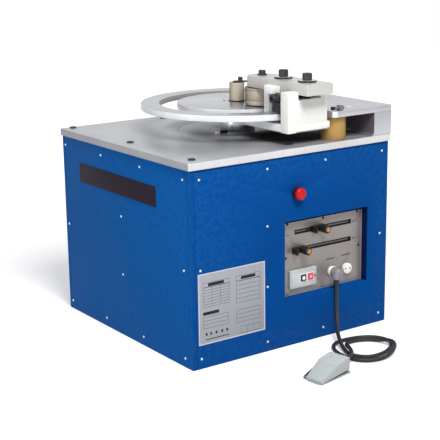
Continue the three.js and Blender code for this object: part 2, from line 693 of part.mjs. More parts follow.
// One angle setting: a rail behind its slot, a carriage that slides in it and the knob that locks it
function addSetting(name, up, at) {
  const z = recessBottom + up;
  const left = recessLeft + slot.left;
  const right = left + slot.length;
  const railFront = plateBack + seat + shoe.clampThick + seat;
  const railBack = railFront + rail.thick;
  const footFront = plateBack + seat;
  const railLeft = left - rail.over;
  const railRight = right + rail.over;
  const railPlan = polygon([
    [railLeft - rail.foot, footFront], [railLeft, footFront], [railLeft, railFront],
    [railRight, railFront], [railRight, footFront], [railRight + rail.foot, footFront],
    [railRight + rail.foot, railBack], [railLeft - rail.foot, railBack],
  ]);
  const railBody = slab(railPlan, z - rail.height / 2, z + rail.height / 2);
  add(`slide_rail_${name}`, railBody, materials.railMetal);

  const x = left + at;
  const faceBack = plateFront - seat;
  const faceFront = faceBack - carriage.thick;
  const plan = polygon([
    [x - carriage.back, faceBack], [x - carriage.back, faceFront - carriage.tabDepth],
    [x - carriage.back + carriage.tab, faceFront - carriage.tabDepth],
    [x - carriage.back + carriage.tab, faceFront], [x + carriage.ahead, faceFront],
    [x + carriage.ahead, faceBack],
  ].reverse());
  const front = slab(plan, z - carriage.height / 2, z + carriage.height / 2);
  const shoeHalf = slot.height / 2 - shoe.side;
  const clampFront = plateBack + seat;
  const neck = block(
    x - shoe.width / 2, x + shoe.width / 2, faceBack - overrun, clampFront + shoe.clampThick / 2,
    z - shoeHalf, z + shoeHalf,
  );
  const clamp = block(
    x - shoe.clampWidth / 2, x + shoe.clampWidth / 2, clampFront, clampFront + shoe.clampThick,
    z - shoe.clampHeight / 2, z + shoe.clampHeight / 2,
  );
  const stud = upright(carriage.stud, 0, 0, -overrun, carriage.studLength, facets.small);
  const body = join(front, neck, clamp, facingFront(stud, x, faceFront, z));
  add(`slider_${name}`, body, materials.blackPlastic);

  const bore = carriage.stud + seat;
  const knobBody = turned([
    [bore, 0], [knob.radius, 0], [knob.radius, knob.length - knob.endLength],
    [knob.end, knob.length], [0, knob.length], [0, knob.bore], [bore, knob.bore], [bore, 0],
  ], facets.small);
  add(`knob_${name}`, facingFront(knobBody, x, faceFront - seat, z), materials.blackPlastic);
}

// Switch box with its two buttons and lamp
function addSwitches() {
  const left = recessLeft + switchBox.left;
  const low = recessBottom + switchBox.bottom;
  const mid = low + switchBox.height / 2;
  const back = plateFront - seat;
  const front = back - switchBox.thick;
  const outline = rectangle(left, left + switchBox.width, low, low + switchBox.height, switchBox.round);
  const half = button.size / 2 + button.side;
  const wells = [button.greenAt, button.redAt].map((at) => {
    const well = rectangle(left + at - half, left + at + half, mid - half, mid + half);
    return panel(well, front - overrun, back + overrun);
  });
  const lampHole = upright(lamp.radius + seat, 0, 0, -overrun, switchBox.thick + overrun, facets.small);
  wells.push(facingFront(lampHole, left + lamp.at, back, mid));
  add('switch_box', cut(panel(outline, front, back), ...wells), materials.switchGrey);
  for (const [name, at] of [['green', button.greenAt], ['red', button.redAt]]) {
    const x = left + at;
    const edge = button.size / 2;
    const cap = rectangle(x - edge, x + edge, mid - edge, mid + edge, button.round);
    add(`${name}_button`, panel(cap, front - button.proud, front + button.inside), materials[name]);
  }
  const dome = turned([
    [0, 0], [lamp.radius, 0], [lamp.radius, switchBox.thick],
    [lamp.radius / 2, switchBox.thick + lamp.proud], [0, switchBox.thick + lamp.proud],
  ], facets.small);
  add('pilot_lamp', facingFront(dome, left + lamp.at, back, mid), materials.red);
}

// Two round outlets, and the angled plug that sits in the first
function addOutlets() {
  const z = recessBottom + outlet.up;
  const profile = [
    [0, -outlet.barrelLength], [outlet.barrel, -outlet.barrelLength], [outlet.barrel, seat],
    [outlet.flange, seat], [outlet.flange, outlet.proud], [0, outlet.proud],
  ];
  for (const [name, at] of [['first', outlet.firstAt], ['second', outlet.secondAt]]) {
    const holes = [-1, 1].map((side) => upright(
      pin.hole, side * pin.spread, 0, outlet.proud - pin.holeDepth, outlet.proud + overrun, facets.tiny,
    ));
    const body = cut(turned(profile, facets.small), ...holes);
    add(`outlet_${name}`, facingFront(body, recessLeft + at, plateFront, z), materials.white);
  }

  const x = recessLeft + outlet.firstAt;
  const face = plateFront - outlet.proud - seat;
  const head = turned([
    [0, 0], [plug.radius, 0], [plug.radius, plug.length - plug.round],
    [plug.radius - plug.round, plug.length], [0, plug.length],
  ], facets.small);
  const pins = [-1, 1].map((side) => upright(
    pin.radius, side * pin.spread, 0, -pin.depth, overrun, facets.tiny,
  ));
  const round = join(facingFront(join(head, ...pins), x, face, z));
  const tailY = face - plug.length + plug.tailBack;
  const tailX = x - plug.tailShift;
  const tailEnd = z - plug.tailDrop;
  const tail = upright(plug.tail, tailX, tailY, tailEnd, z, facets.small);
  add('plug', join(round, tail), materials.plugGrey);
  const boot = turned([
    [0, -relief.length], [relief.bottom, -relief.length], [relief.top, -relief.lip], [relief.top, 0], [0, 0],
  ], facets.small);
  add('strain_relief', boot.translate(tailX, tailY, tailEnd - seat), materials.rubber);
}

// Emergency stop: fixed collar, sliding stem and the mushroom cap that turns on it
function addEstop() {
  const x = recessLeft + estop.left;
  const z = recessTop + estop.up;
  const face = -halfDepth - seat;
  const ringBody = turned([
    [stem.radius + seat, 0], [estop.collar, 0], [estop.collar, estop.collarThick],
    [stem.radius + seat, estop.collarThick], [stem.radius + seat, 0],
  ], facets.small);
  add('estop_collar', facingFront(ringBody, x, face, z), materials.blackPlastic);
  const capBack = face - estop.collarThick - estop.gap;
  const stemBody = upright(stem.radius, 0, 0, -stem.behind - estop.gap, stem.inCap, facets.small);
  add('estop_stem', facingFront(stemBody, x, capBack, z), materials.blackPlastic);
  const bore = stem.radius + seat;
  const capBody = turned([
    [bore, 0], [estop.cap, 0], [estop.cap, estop.capThick - estop.dome],
    [estop.cap - estop.dome, estop.capThick], [0, estop.capThick],
    [0, stem.inCap + seat], [bore, stem.inCap + seat], [bore, 0],
  ], facets.medium);
  add('estop_cap', facingFront(capBody, x, capBack, z), materials.red);
}

// Foot pedal
function pedalOutline(inset, drop) {
  return polygon([
    [inset, pedalHeights.noseBottom - drop],
    [pedal.length - inset, pedalHeights.heelBottom - drop],
    [pedal.length - inset, pedalHeights.heel - inset],
    [pedalPlaces.kink, pedalHeights.kink - inset],
    [pedalPlaces.nose + inset, pedalHeights.noseTop - inset],
    [inset, pedalHeights.noseTop - inset * 2],
  ]);
}

function across(outline, width) {
  return slab(outline, 0, width).rotateX(Math.PI / 2).translate(0, width / 2, 0);
}

function crossBore(radius, x, z, width) {
  const rod = upright(radius, 0, 0, -width / 2, width / 2, facets.small);
  return rod.rotateX(Math.PI / 2).translate(x, 0, z);
}

function addPedal() {
  const group = new THREE.Group();
  group.position.set(pedal.x, pedal.y, 0);
  group.rotation.z = THREE.MathUtils.degToRad(pedal.turn);
  machine.add(group);

  const shell = across(pedalOutline(0, 0), pedal.width);
  const hollow = across(pedalOutline(pedal.wall, overrun), pedal.width - pedal.wall * 2);
  const eyes = crossBore(pedalHinge.pin + seat, pedalHinge.x, pedalHinge.z, pedal.width + overrun);
  add('pedal_cover', cut(shell, hollow, eyes), materials.pedalPaint, group);

  const half = pedal.width / 2;
  const sole = slab(
    rectangle(pedalPlaces.baseNose, pedalPlaces.baseHeel, -half, half, pedalBase.corner), 0, pedalBase.thick,
  );
  const sunk = pedalBase.thick / 2;
  const switchHalf = pedalBase.switchWidth / 2;
  const switchHousing = block(
    pedalBase.switchStart, pedalBase.switchEnd, -switchHalf, switchHalf, sunk, pedalBase.switchTop,
  );
  const lugs = [-1, 1].map((side) => {
    const y = side * pedalHinge.lugOut;
    const foot = block(
      pedalHinge.x - pedalHinge.lug, pedalHinge.x + pedalHinge.lug,
      y - pedalHinge.lugWidth / 2, y + pedalHinge.lugWidth / 2, sunk, pedalHinge.z,
    );
    const eye = crossBore(pedalHinge.lug, pedalHinge.x, pedalHinge.z, pedalHinge.lugWidth);
    return join(foot, eye.translate(0, y, 0));
  });
  const wallHalf = heelWall.width / 2;
  const wall = block(
    heelWall.start, heelWall.start + heelWall.thick, -wallHalf, wallHalf, sunk, heelWall.height,
  );
  const glandHole = upright(gland.shank + seat, 0, 0, -overrun, heelWall.thick + overrun, facets.small);
  glandHole.rotateY(Math.PI / 2).translate(heelWall.start, 0, gland.z);
  const pinHole = crossBore(pedalHinge.pin + seat, pedalHinge.x, pedalHinge.z, pedal.width);
  const base = cut(join(sole, switchHousing, ...lugs, wall), glandHole, pinHole);
  add('pedal_base', base, materials.pedalPaint, group);

  const hingePin = crossBore(pedalHinge.pin, pedalHinge.x, pedalHinge.z, pedal.width - seat * 2);
  add('pedal_hinge_pin', hingePin, materials.steel, group);

  const nutEnd = gland.nutLength + seat;
  const glandEnd = nutEnd + gland.bodyLength;
  const glandBody = turned([
    [0, -heelWall.thick - gland.shankOut], [gland.shank, -heelWall.thick - gland.shankOut],
    [gland.shank, seat], [gland.nut, seat], [gland.nut, nutEnd], [gland.body, nutEnd],
    [gland.mouth, glandEnd], [0, glandEnd],
  ], facets.small);
  glandBody.rotateY(Math.PI / 2).translate(heelWall.start + heelWall.thick, 0, gland.z);
  add('pedal_gland', glandBody, materials.blackPlastic, group);
}

function leastGap(points, radius) {
  const far = radius * Math.PI * 2;
  let least = Infinity;
  const along = [0];
  for (let i = 1; i < points.length; i += 1) {
    along.push(along[i - 1] + points[i].distanceTo(points[i - 1]));
  }
  points.forEach((a, i) => {
    points.forEach((b, j) => {
      if (along[j] - along[i] > far) {
        least = Math.min(least, a.distanceTo(b) - radius * 2);
      }
    });
  });
  return least;
}

function addCable() {
  const points = cableRoute.map(([x, y, z]) => new THREE.Vector3(x, y, z));
  const curve = new THREE.CatmullRomCurve3(points, false, 'centripetal');
  const section = new THREE.Shape();
  section.absarc(0, 0, cable.radius, 0, Math.PI * 2);
  const tube = new THREE.ExtrudeGeometry(section, {
    extrudePath: curve,
    steps: cable.steps,
    curveSegments: facets.cord,
    bevelEnabled: false,
  });
  add('pedal_cable', tube, materials.rubber);
  const samples = curve.getSpacedPoints(cable.steps * cable.samples);
  const gap = leastGap(samples, cable.radius);
  console.log('cable length', curve.getLength().toFixed(0), 'least gap', gap.toFixed(2));
}

addCabinet();
addTable();
addBearingHousing();
addDrive();
addRing();
addShaft();
addLowerArm();
const armBolts = addUprights();
addUpperArm(armBolts);
addArmBolts(armBolts);
addGuide();
addBendRoller();
addCentreRoller();
addStop();
addSensor();
addPlates();
addRecess();
addSetting('upper', slot.upper, knob.upperAt);
addSetting('lower', slot.lower, knob.lowerAt);
addSwitches();
addOutlets();
addEstop();
addPedal();
addCable();

export default machine;
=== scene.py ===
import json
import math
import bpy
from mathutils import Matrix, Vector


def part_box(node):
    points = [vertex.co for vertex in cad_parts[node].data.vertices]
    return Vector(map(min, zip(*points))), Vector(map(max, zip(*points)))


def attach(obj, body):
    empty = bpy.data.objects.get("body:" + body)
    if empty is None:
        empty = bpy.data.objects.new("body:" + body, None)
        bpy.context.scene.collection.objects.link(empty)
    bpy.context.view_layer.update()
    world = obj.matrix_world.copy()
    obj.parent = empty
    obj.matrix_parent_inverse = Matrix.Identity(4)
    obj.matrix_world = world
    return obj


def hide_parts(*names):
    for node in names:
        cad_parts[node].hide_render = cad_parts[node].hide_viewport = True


bl_info = {
    "name": "Rebar bending machine",
    "version": (1, 0, 0),
    "blender": (4, 5, 0),
    "location": "3D View > Sidebar > Bender",
    "description": "Dresses a floor-standing rebar bender: finishes, fasteners, cable and foot pedal",
    "category": "Add Mesh",
}

import bmesh
import bpy
from bpy.props import FloatProperty, FloatVectorProperty, PointerProperty
from mathutils import Matrix, Vector

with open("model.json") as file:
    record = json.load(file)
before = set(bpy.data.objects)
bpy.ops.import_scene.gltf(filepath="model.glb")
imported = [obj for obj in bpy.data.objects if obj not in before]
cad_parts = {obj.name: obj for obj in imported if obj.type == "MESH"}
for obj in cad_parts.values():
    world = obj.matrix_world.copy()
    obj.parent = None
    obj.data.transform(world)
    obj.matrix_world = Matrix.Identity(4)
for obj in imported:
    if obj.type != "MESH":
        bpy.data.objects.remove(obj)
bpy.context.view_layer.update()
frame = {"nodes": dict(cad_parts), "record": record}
MM = 0.001


def srgb(red, green, blue):
    """A colour given as it looks on screen, 0 to 255, as the linear values that Blender stores."""
    def linear(value):
        share = value / 255
        return share / 12.92 if share <= 0.04045 else ((share + 0.055) / 1.055) ** 2.4
    return (linear(red), linear(green), linear(blue))


# Settings that a user would change

def colour(name, description, *screen):
    """A colour setting, with its default as it looks on screen."""
    return FloatVectorProperty(
        name=name, description=description, subtype="COLOR", size=3, min=0, max=1, default=srgb(*screen)
    )


def length(name, description, default):
    """A length setting, in metres."""
    return FloatProperty(
        name=name, description=description, default=default, unit="LENGTH", subtype="DISTANCE"
    )


class BenderPaints(bpy.types.PropertyGroup):
    """Colours of paint and print"""
    cabinet: colour("Cabinet blue", "Paint of the cabinet's front and rear", 3, 68, 136)
    # Painted light: the left and right sides are a lighter blue than the front and rear, for light falling
    # on the sides
    cabinet_side: colour("Cabinet side blue, painted light", "Paint of the cabinet's left and right side", 4, 80, 148)
    bracket: colour("Bracket white", "Paint of the arm's outer bracket", 232, 231, 226)
    # Painted light on the pedal's top and painted shade on its sides: one paint as two greys
    pedal: colour("Pedal top grey, painted light", "Paint of the foot pedal's top", 176, 183, 184)
    pedal_side: colour("Pedal side grey, painted shade", "Paint of the foot pedal's sides", 172, 176, 175)
    nameplate: colour("Nameplate", "Dark plate on the left panel", 44, 36, 46)
    rating: colour("Rating plate", "Pale plate on the front panel", 156, 158, 163)
    rating_lines: colour("Rating plate lines", "Printed rules on the pale plate", 122, 124, 130)
    rating_heads: colour("Rating plate headings", "Dark bars and marks on the pale plate", 44, 45, 50)
    # Painted highlight: the studs are paler than the tread, for the light on their tops
    stud: colour("Stud grey, painted highlight", "Studs on the pedal", 194, 201, 202)
    rim: colour("Rating plate rim", "Pale border of the rating plate", 188, 192, 206)
    recess: colour("Recess side", "Shaded right wall of the control recess", 14, 24, 62)
    floor: colour("Floor", "Floor and backdrop", 238, 238, 240)


class BenderMetals(bpy.types.PropertyGroup):
    """Colours of bare and blackened metal"""
    table: colour("Table steel", "Ground plate on the cabinet", 184, 186, 190)
    ring: colour("Ring steel", "Turned sides of ring, deck and disc", 220, 222, 227)
    ring_top: colour("Ring top steel", "Ground top of ring, deck and disc", 180, 181, 185)
    # Painted shade: the undersides of the deck and disc are nearly black
    ring_under: colour("Ring underside", "Underside of ring, deck and disc", 40, 38, 40)
    table_edge: colour("Table edge", "Front and rear sides of the table plate", 206, 206, 208)
    # Painted shade: the table plate's left and right sides are darker than its front and rear
    table_side: colour("Table side", "Left and right sides of the table plate", 158, 158, 162)
    ring_inner: colour("Ring's inner wall", "Bore of the fixed ring", 158, 158, 160)
    arm: colour("Arm steel", "Bar and lower arm", 197, 195, 191)
    post: colour("Post steel", "Inner post", 240, 240, 240)
    blackened: colour("Blackened steel", "Bolts, guide and keeper", 40, 39, 42)
    roller: colour("Roller steel", "Hardened rollers", 176, 166, 150)
    brass: colour("Brass", "Support column", 176, 142, 86)
    control: colour("Control plate", "Brushed plate in the recess", 144, 138, 135)
    stop: colour("Stop steel", "Stop lug and its bolt", 128, 122, 128)
    hub: colour("Hub", "Polished shaft and hub", 205, 206, 210)
    # Painted shade: a near-black for undersides, not oil
    underside: colour("Shadow side", "Painted shade on the undersides of the arm and deck", 18, 16, 18)
    # Painted shade: the riser's inner face is a darker grey
    inner: colour("Riser's inner face", "Painted shade on the riser's inner face", 96, 88, 94)
    rail: colour("Slide rail", "Rail behind each slot", 126, 116, 116)
    # Painted highlight: the ribs' outer faces are lighter than the blackened head
    rib: colour("Rubbed rib", "Knurled ribs of the arm bolts, rubbed bare", 78, 72, 76)
    plate_screw: colour("Plate screws", "Dull yellow screws of the control plate", 132, 132, 108)
    screw: colour("Screws", "Zinc-plated panel screws and washers", 208, 211, 212)


class BenderPlastics(bpy.types.PropertyGroup):
    """Colours of plastic and rubber"""
    black: colour("Black plastic", "Knobs, collar and carriages", 30, 30, 32)
    rubber: colour("Cable sheath", "Black sheath and strain relief", 42, 40, 43)
    red: colour("Red", "Emergency stop and lamp", 184, 6, 20)
    white: colour("White", "Outlets and button frames", 240, 238, 232)
    plug: colour("Plug grey", "Angled plug", 136, 132, 141)
    switch: colour("Switch box grey", "Box round the buttons", 186, 192, 192)
    knob_end: colour("Knob end", "Orange cap in the end of each knob", 180, 122, 64)
    stop_face: colour("Stop button", "Face of the stop button", 218, 78, 100)
    start_face: colour("Start button", "Face of the start button", 30, 72, 52)
    print: colour("Print", "Blank label strips", 92, 84, 86)
    stop_middle: colour("Stop button middle", "Lighter middle of the stop button", 246, 190, 198)
    dot: colour("Blue dots", "Blue marks beside the slots", 80, 80, 150)


class BenderSizes(bpy.types.PropertyGroup):
    """Sizes of edges, screws, cable and studs"""
    edge: length("Edge bevel", "Broken edge of sheet and plate", 0.8 * MM)
    screw: length("Panel screw", "Radius of a panel screw's head", 4.2 * MM)
    cable: length("Cable", "Diameter of the pedal's cable", 13 * MM)
    rib: length("Cable rib", "Spacing of the rings on the cable's sheath", 7 * MM)
    stud: length("Pedal stud", "Radius of a stud on the pedal's tread", 2.9 * MM)


# Selecting and editing

# Edges sharper than the first angle are broken, faces within the second of each other are merged and
# shading runs on up to the third, or up to the fourth on domes and the cable, all in degrees
SHARP_ANGLE = 30
FLAT_ANGLE = 0.5
SMOOTH_ANGLE = 35
ROUND_ANGLE = 60
# Points closer than this, in metres, are one
MERGE_REACH = 0.00001


def deselect():
    bpy.ops.object.select_all(action="DESELECT")


def activate(piece):
    deselect()
    piece.select_set(True)
    bpy.context.view_layer.objects.active = piece


def new_object(name, data):
    """A new object in the scene with the given mesh, lamp or camera."""
    made = bpy.data.objects.new(name, data)
    bpy.context.scene.collection.objects.link(made)
    return made


def apply_place(piece):
    activate(piece)
    bpy.ops.object.transform_apply(location=True, rotation=True, scale=True)


def open_edit(piece, kind):
    """Opens a piece in edit mode with nothing selected and gives its mesh."""
    activate(piece)
    bpy.ops.object.mode_set(mode="EDIT")
    bpy.ops.mesh.select_mode(type=kind)
    bpy.ops.mesh.select_all(action="DESELECT")
    return bmesh.from_edit_mesh(piece.data)


def leave_edit():
    bpy.ops.object.mode_set(mode="OBJECT")


def edit_faces(piece, chosen):
    """Opens a piece in edit mode with only the chosen faces selected."""
    mesh = open_edit(piece, "FACE")
    for face in mesh.faces:
        face.select_set(chosen(face.calc_center_median(), face.normal))
    bmesh.update_edit_mesh(piece.data)


def round_edges(piece, chosen, radius, segments):
    """Rounds the edges for whose two ends the test holds."""
    mesh = open_edit(piece, "EDGE")
    for edge in mesh.edges:
        edge.select_set(chosen(edge.verts[0].co, edge.verts[1].co))
    bmesh.update_edit_mesh(piece.data)
    bpy.ops.mesh.bevel(offset=radius, segments=segments, affect="EDGES")
    leave_edit()


def cut_level(piece, level, axis=2):
    """Cuts a piece's faces along a plane across one axis."""
    activate(piece)
    bpy.ops.object.mode_set(mode="EDIT")
    bpy.ops.mesh.select_all(action="SELECT")
    place = [0.0, 0.0, 0.0]
    normal = [0.0, 0.0, 0.0]
    place[axis] = level
    normal[axis] = 1.0
    bpy.ops.mesh.bisect(plane_co=place, plane_no=normal)
    leave_edit()


def groove(piece, low, high, depth):
    """Cuts a shallow groove round a piece between two heights."""
    for level in (low, high):
        cut_level(piece, level)
    edit_faces(piece, lambda centre, normal: low < centre.z < high and is_side(centre, normal))
    bpy.ops.mesh.extrude_region_shrink_fatten(TRANSFORM_OT_shrink_fatten={"value": -depth})
    leave_edit()


def push_in(depth):
    """Sinks the selected faces straight down."""
    bpy.ops.mesh.extrude_region_move(TRANSFORM_OT_translate={"value": (0.0, 0.0, -depth)})


def bevel(piece, width, segments=2):
    """Breaks a piece's sharp edges."""
    activate(piece)
    modifier = piece.modifiers.new("Broken edges", "BEVEL")
    modifier.width = width
    modifier.segments = segments
    modifier.limit_method = "ANGLE"
    modifier.angle_limit = math.radians(SHARP_ANGLE)
    modifier.use_clamp_overlap = True
    bpy.ops.object.modifier_apply(modifier=modifier.name)


def smooth(piece, angle=SMOOTH_ANGLE):
    activate(piece)
    bpy.ops.object.shade_smooth_by_angle(angle=math.radians(angle))


# Tests of a face by its centre and its normal

def faces_up(centre, normal):
    return normal.z > 0.9


def faces_down(centre, normal):
    return normal.z < -0.9


def is_side(centre, normal):
    return abs(normal.z) < 0.5


def looks_sideways(centre, normal):
    return abs(normal.x) > 0.75


# Nodes of the frame and their finished copies

def body_of(name):
    """The body that a node moves with, as the record has it."""
    bodies = frame["record"]["behaviour"]["bodies"]
    return next(body for body, nodes in bodies.items() if name in nodes)


def axis_centre(name):
    """The middle of a node in plan, which its turning marks go round."""
    low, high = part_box(name)
    return ((low[0] + high[0]) / 2, (low[1] + high[1]) / 2, 0.0)


def dress(piece, material):
    piece.data.materials.clear()
    piece.data.materials.append(material)


def dress_faces(piece, material, chosen):
    """Gives a further material to the faces for which the test of centre and normal holds."""
    piece.data.materials.append(material)
    index = len(piece.data.materials) - 1
    for face in piece.data.polygons:
        if chosen(face.center, face.normal):
            face.material_index = index


def settle(piece, body):
    """Gives a finished piece its body."""
    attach(piece, body)
    return piece


def merged_copy(name):
    """A copy of a node with its doubled points and its flat neighbours merged."""
    piece = new_object(f"{name}_finished", frame["nodes"][name].data.copy())
    activate(piece)
    bpy.ops.object.mode_set(mode="EDIT")
    bpy.ops.mesh.select_all(action="SELECT")
    bpy.ops.mesh.remove_doubles(threshold=MERGE_REACH)
    bpy.ops.mesh.dissolve_limited(angle_limit=math.radians(FLAT_ANGLE))
    leave_edit()
    bpy.ops.mesh.customdata_custom_splitnormals_clear()
    return piece


def finish_node(name, material, edge=None, segments=2, shape=None):
    """A finished copy of a node with broken edges and smooth round sides.

    shape, if given, works on the merged copy before its edges are broken.
    """
    piece = merged_copy(name)
    if shape:
        shape(piece)
    if edge is None:
        edge = bpy.context.scene.bender_sizes.edge
    if edge > 0:
        bevel(piece, edge, segments)
    smooth(piece)
    dress(piece, material)
    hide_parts(name)
    return settle(piece, body_of(name))


def add_on(piece, material, body):
    """Dresses a piece that has no node of its own and lets it ride."""
    dress(piece, material)
    return settle(piece, body)


# Small parts

SOCKET_HEAD_SIDES = 24
BUTTON_HEAD_SIDES = 20
# Shares of a part's radius
KNURL_GAP, KNURL_DEPTH = 0.01, 0.05
SOCKET_EDGE = 0.08
BUTTON_RIM = 0.2
# Shares of a part's height
DOME_ROUND = 0.9
BUTTON_ROUND, BUTTON_SINK = 0.8, 0.4


def cylinder(name, radius, depth, sides):
    """An upright cylinder that stands on the floor at the middle."""
    deselect()
    bpy.ops.mesh.primitive_cylinder_add(
        vertices=sides, radius=radius, depth=depth, location=(0.0, 0.0, depth / 2))
    piece = bpy.context.active_object
    piece.name = name
    apply_place(piece)
    return piece


def plate(name, near, far):
    """A flat box between two corners in millimetres."""
    deselect()
    low, high = ([value * MM for value in corner] for corner in (near, far))
    middle = [(a + b) / 2 for a, b in zip(low, high)]
    bpy.ops.mesh.primitive_cube_add(size=1.0, location=middle)
    piece = bpy.context.active_object
    piece.name = name
    piece.scale = [b - a for a, b in zip(low, high)]
    apply_place(piece)
    return piece


def front_frame(name, box, face, proud, width):
    """A flat frame standing proud of a face that looks forward, in millimetres.

    box is the frame's left, right, low and high side, and width is that of its border.
    """
    left, right, low, high = box
    piece = plate(name, (left, face - proud, low), (right, face, high))
    edit_faces(piece, lambda centre, normal: abs(normal.y) > 0.9)
    bpy.ops.mesh.inset(thickness=width * MM, use_individual=True)
    bpy.ops.mesh.bridge_edge_loops()
    leave_edit()
    return piece


def tube(name, outer, inner, depth, sides):
    """An upright ring that stands on the floor at the middle."""
    piece = cylinder(name, outer, depth, sides)
    edit_faces(piece, lambda centre, normal: abs(normal.z) > 0.9)
    bpy.ops.mesh.inset(thickness=outer - inner, use_individual=True)
    bpy.ops.mesh.bridge_edge_loops()
    leave_edit()
    return piece


def knurled_sleeve(name, outer, inner, depth, ribs):
    """A ring whose outside carries upright ribs."""
    piece = tube(name, outer, inner, depth, ribs * 2)
    step = math.tau / (ribs * 2)

    def valley(centre, normal):
        outward = abs(normal.z) < 0.1 and centre.x * normal.x + centre.y * normal.y > 0
        return outward and int(round(math.atan2(centre.y, centre.x) / step - 0.5)) % 2 == 0
    edit_faces(piece, valley)
    bpy.ops.mesh.inset(thickness=outer * KNURL_GAP, depth=-outer * KNURL_DEPTH, use_individual=True)
    leave_edit()
    return piece


def domed(name, radius, height, sides):
    """A low dome standing on the floor at the middle."""
    piece = cylinder(name, radius, height, sides)
    edit_faces(piece, faces_up)
    bpy.ops.mesh.bevel(offset=height * DOME_ROUND, segments=4, affect="EDGES")
    leave_edit()
    smooth(piece, ROUND_ANGLE)
    return piece


def socket_head(name, radius, height, socket):
    """A screw head with a broken rim and a sunk socket, standing on the floor at the middle."""
    piece = cylinder(name, radius, height, SOCKET_HEAD_SIDES)
    edit_faces(piece, faces_up)
    bpy.ops.mesh.inset(thickness=radius - socket)
    push_in(height / 2)
    leave_edit()
    bevel(piece, radius * SOCKET_EDGE)
    smooth(piece)
    return piece


def button_head(name, radius, height):
    """A low domed screw head with a small sunk socket."""
    piece = cylinder(name, radius, height, BUTTON_HEAD_SIDES)
    edit_faces(piece, faces_up)
    bpy.ops.mesh.bevel(offset=height * BUTTON_ROUND, segments=3, affect="EDGES")
    leave_edit()
    edit_faces(piece, lambda centre, normal: normal.z > 0.99)
    bpy.ops.mesh.inset(thickness=radius * BUTTON_RIM)
    push_in(height * BUTTON_SINK)
    leave_edit()
    smooth(piece)
    return piece


# Placing

def facing(normal, place):
    """The matrix that turns a piece's top to a direction and takes it to a place in millimetres."""
    turn = Vector((0.0, 0.0, 1.0)).rotation_difference(Vector(normal)).to_matrix().to_4x4()
    return Matrix.Translation(Vector(place) * MM) @ turn


def upright(x, y, z):
    """The matrix that takes a piece to a place in millimetres and leaves it upright."""
    return Matrix.Translation(Vector((x, y, z)) * MM)


def forward(x, z, face):
    """The matrix that stands a piece on a face that looks forward."""
    return facing((0, -1, 0), (x, face, z))


def join_pieces(pieces, name):
    """One named piece from several."""
    deselect()
    for piece in pieces:
        piece.select_set(True)
    bpy.context.view_layer.objects.active = pieces[0]
    if len(pieces) > 1:
        bpy.ops.object.join()
    joined = bpy.context.view_layer.objects.active
    joined.name = name
    return joined


def copies(model, places, name):
    """One piece from copies of a model, each placed by a matrix; the model itself is removed."""
    made = []
    for place in places:
        twin = new_object(name, model.data.copy())
        twin.data.transform(place)
        made.append(twin)
    bpy.data.objects.remove(model)
    return join_pieces(made, name)


# Shader nodes

def feed(tree, fed, inputs):
    """Gives a node's inputs other nodes' outputs or plain values."""
    for label, value in inputs.items():
        if isinstance(value, bpy.types.NodeSocket):
            tree.links.new(value, fed.inputs[label])
        else:
            fed.inputs[label].default_value = value


def node(tree, kind, inputs=None, **settings):
    """A new node with its settings and inputs in place."""
    made = tree.nodes.new(kind)
    for key, value in settings.items():
        setattr(made, key, value)
    feed(tree, made, inputs or {})
    return made


def math_node(tree, operation, *values):
    return node(tree, "ShaderNodeMath", dict(enumerate(values)), operation=operation).outputs["Value"]


def distance(tree, vector):
    """How far a place is from the middle of its coordinates."""
    return node(tree, "ShaderNodeVectorMath", {0: vector}, operation="LENGTH").outputs["Value"]


def noise(tree, at, **values):
    inputs = {label.capitalize(): value for label, value in values.items()}
    return node(tree, "ShaderNodeTexNoise", {"Vector": at, **inputs}).outputs["Fac"]


def ramp_between(tree, value, low, high):
    """A soft step from 0 at the low value to 1 at the high one."""
    inputs = {"Value": value, "From Min": low, "From Max": high}
    return node(tree, "ShaderNodeMapRange", inputs, interpolation_type="SMOOTHSTEP").outputs["Result"]


def between(tree, mask, low, high):
    """A value between two, moved by a mask."""
    inputs = {"Value": mask, "To Min": low, "To Max": high}
    return node(tree, "ShaderNodeMapRange", inputs).outputs["Result"]


def tone(tree, mask, dark, light):
    """A colour between two, moved by a mask."""
    inputs = {"Factor": mask, "A": (*dark, 1.0), "B": (*light, 1.0)}
    return node(tree, "ShaderNodeMix", inputs, data_type="RGBA").outputs["Result"]


def layered(tree, mask, base, over):
    """One colour laid over another where a mask is bright."""
    inputs = {"Factor": mask, "A": base, "B": (*over, 1.0)}
    return node(tree, "ShaderNodeMix", inputs, data_type="RGBA").outputs["Result"]


def bump(tree, height, depth, strength):
    inputs = {"Height": height, "Distance": depth, "Strength": strength}
    return node(tree, "ShaderNodeBump", inputs).outputs["Normal"]


def shaded(base, share):
    return tuple(channel * share for channel in base)


def start_material(name):
    """A new material with its tree, its shader and the coordinates of the piece that wears it."""
    material = bpy.data.materials.new(name)
    material.use_nodes = True
    tree = material.node_tree
    at = node(tree, "ShaderNodeTexCoord").outputs["Object"]
    return material, tree, tree.nodes["Principled BSDF"], at


# Effects that several finishes share, each a node group with one output

def new_group(name, inputs, output):
    """A group that takes coordinates and the given inputs, with their defaults, and puts out one value."""
    group = bpy.data.node_groups.new(name, "ShaderNodeTree")
    group.interface.new_socket(name="Vector", in_out="INPUT", socket_type="NodeSocketVector")
    for label, default in inputs.items():
        kind = "NodeSocketVector" if isinstance(default, tuple) else "NodeSocketFloat"
        group.interface.new_socket(name=label, in_out="INPUT", socket_type=kind).default_value = default
    group.interface.new_socket(name=output, in_out="OUTPUT", socket_type="NodeSocketFloat")
    return group, group.nodes.new("NodeGroupInput").outputs, group.nodes.new("NodeGroupOutput")


def shared_group(name, inputs, output):
    """Turns a function that fills a group into one that gives the group, filled once in a file."""
    def keep(fill):
        def get():
            group = bpy.data.node_groups.get(name)
            if group is None:
                group, enter, leave = new_group(name, inputs, output)
                feed(group, leave, {output: fill(group, enter)})
            return group
        return get
    return keep


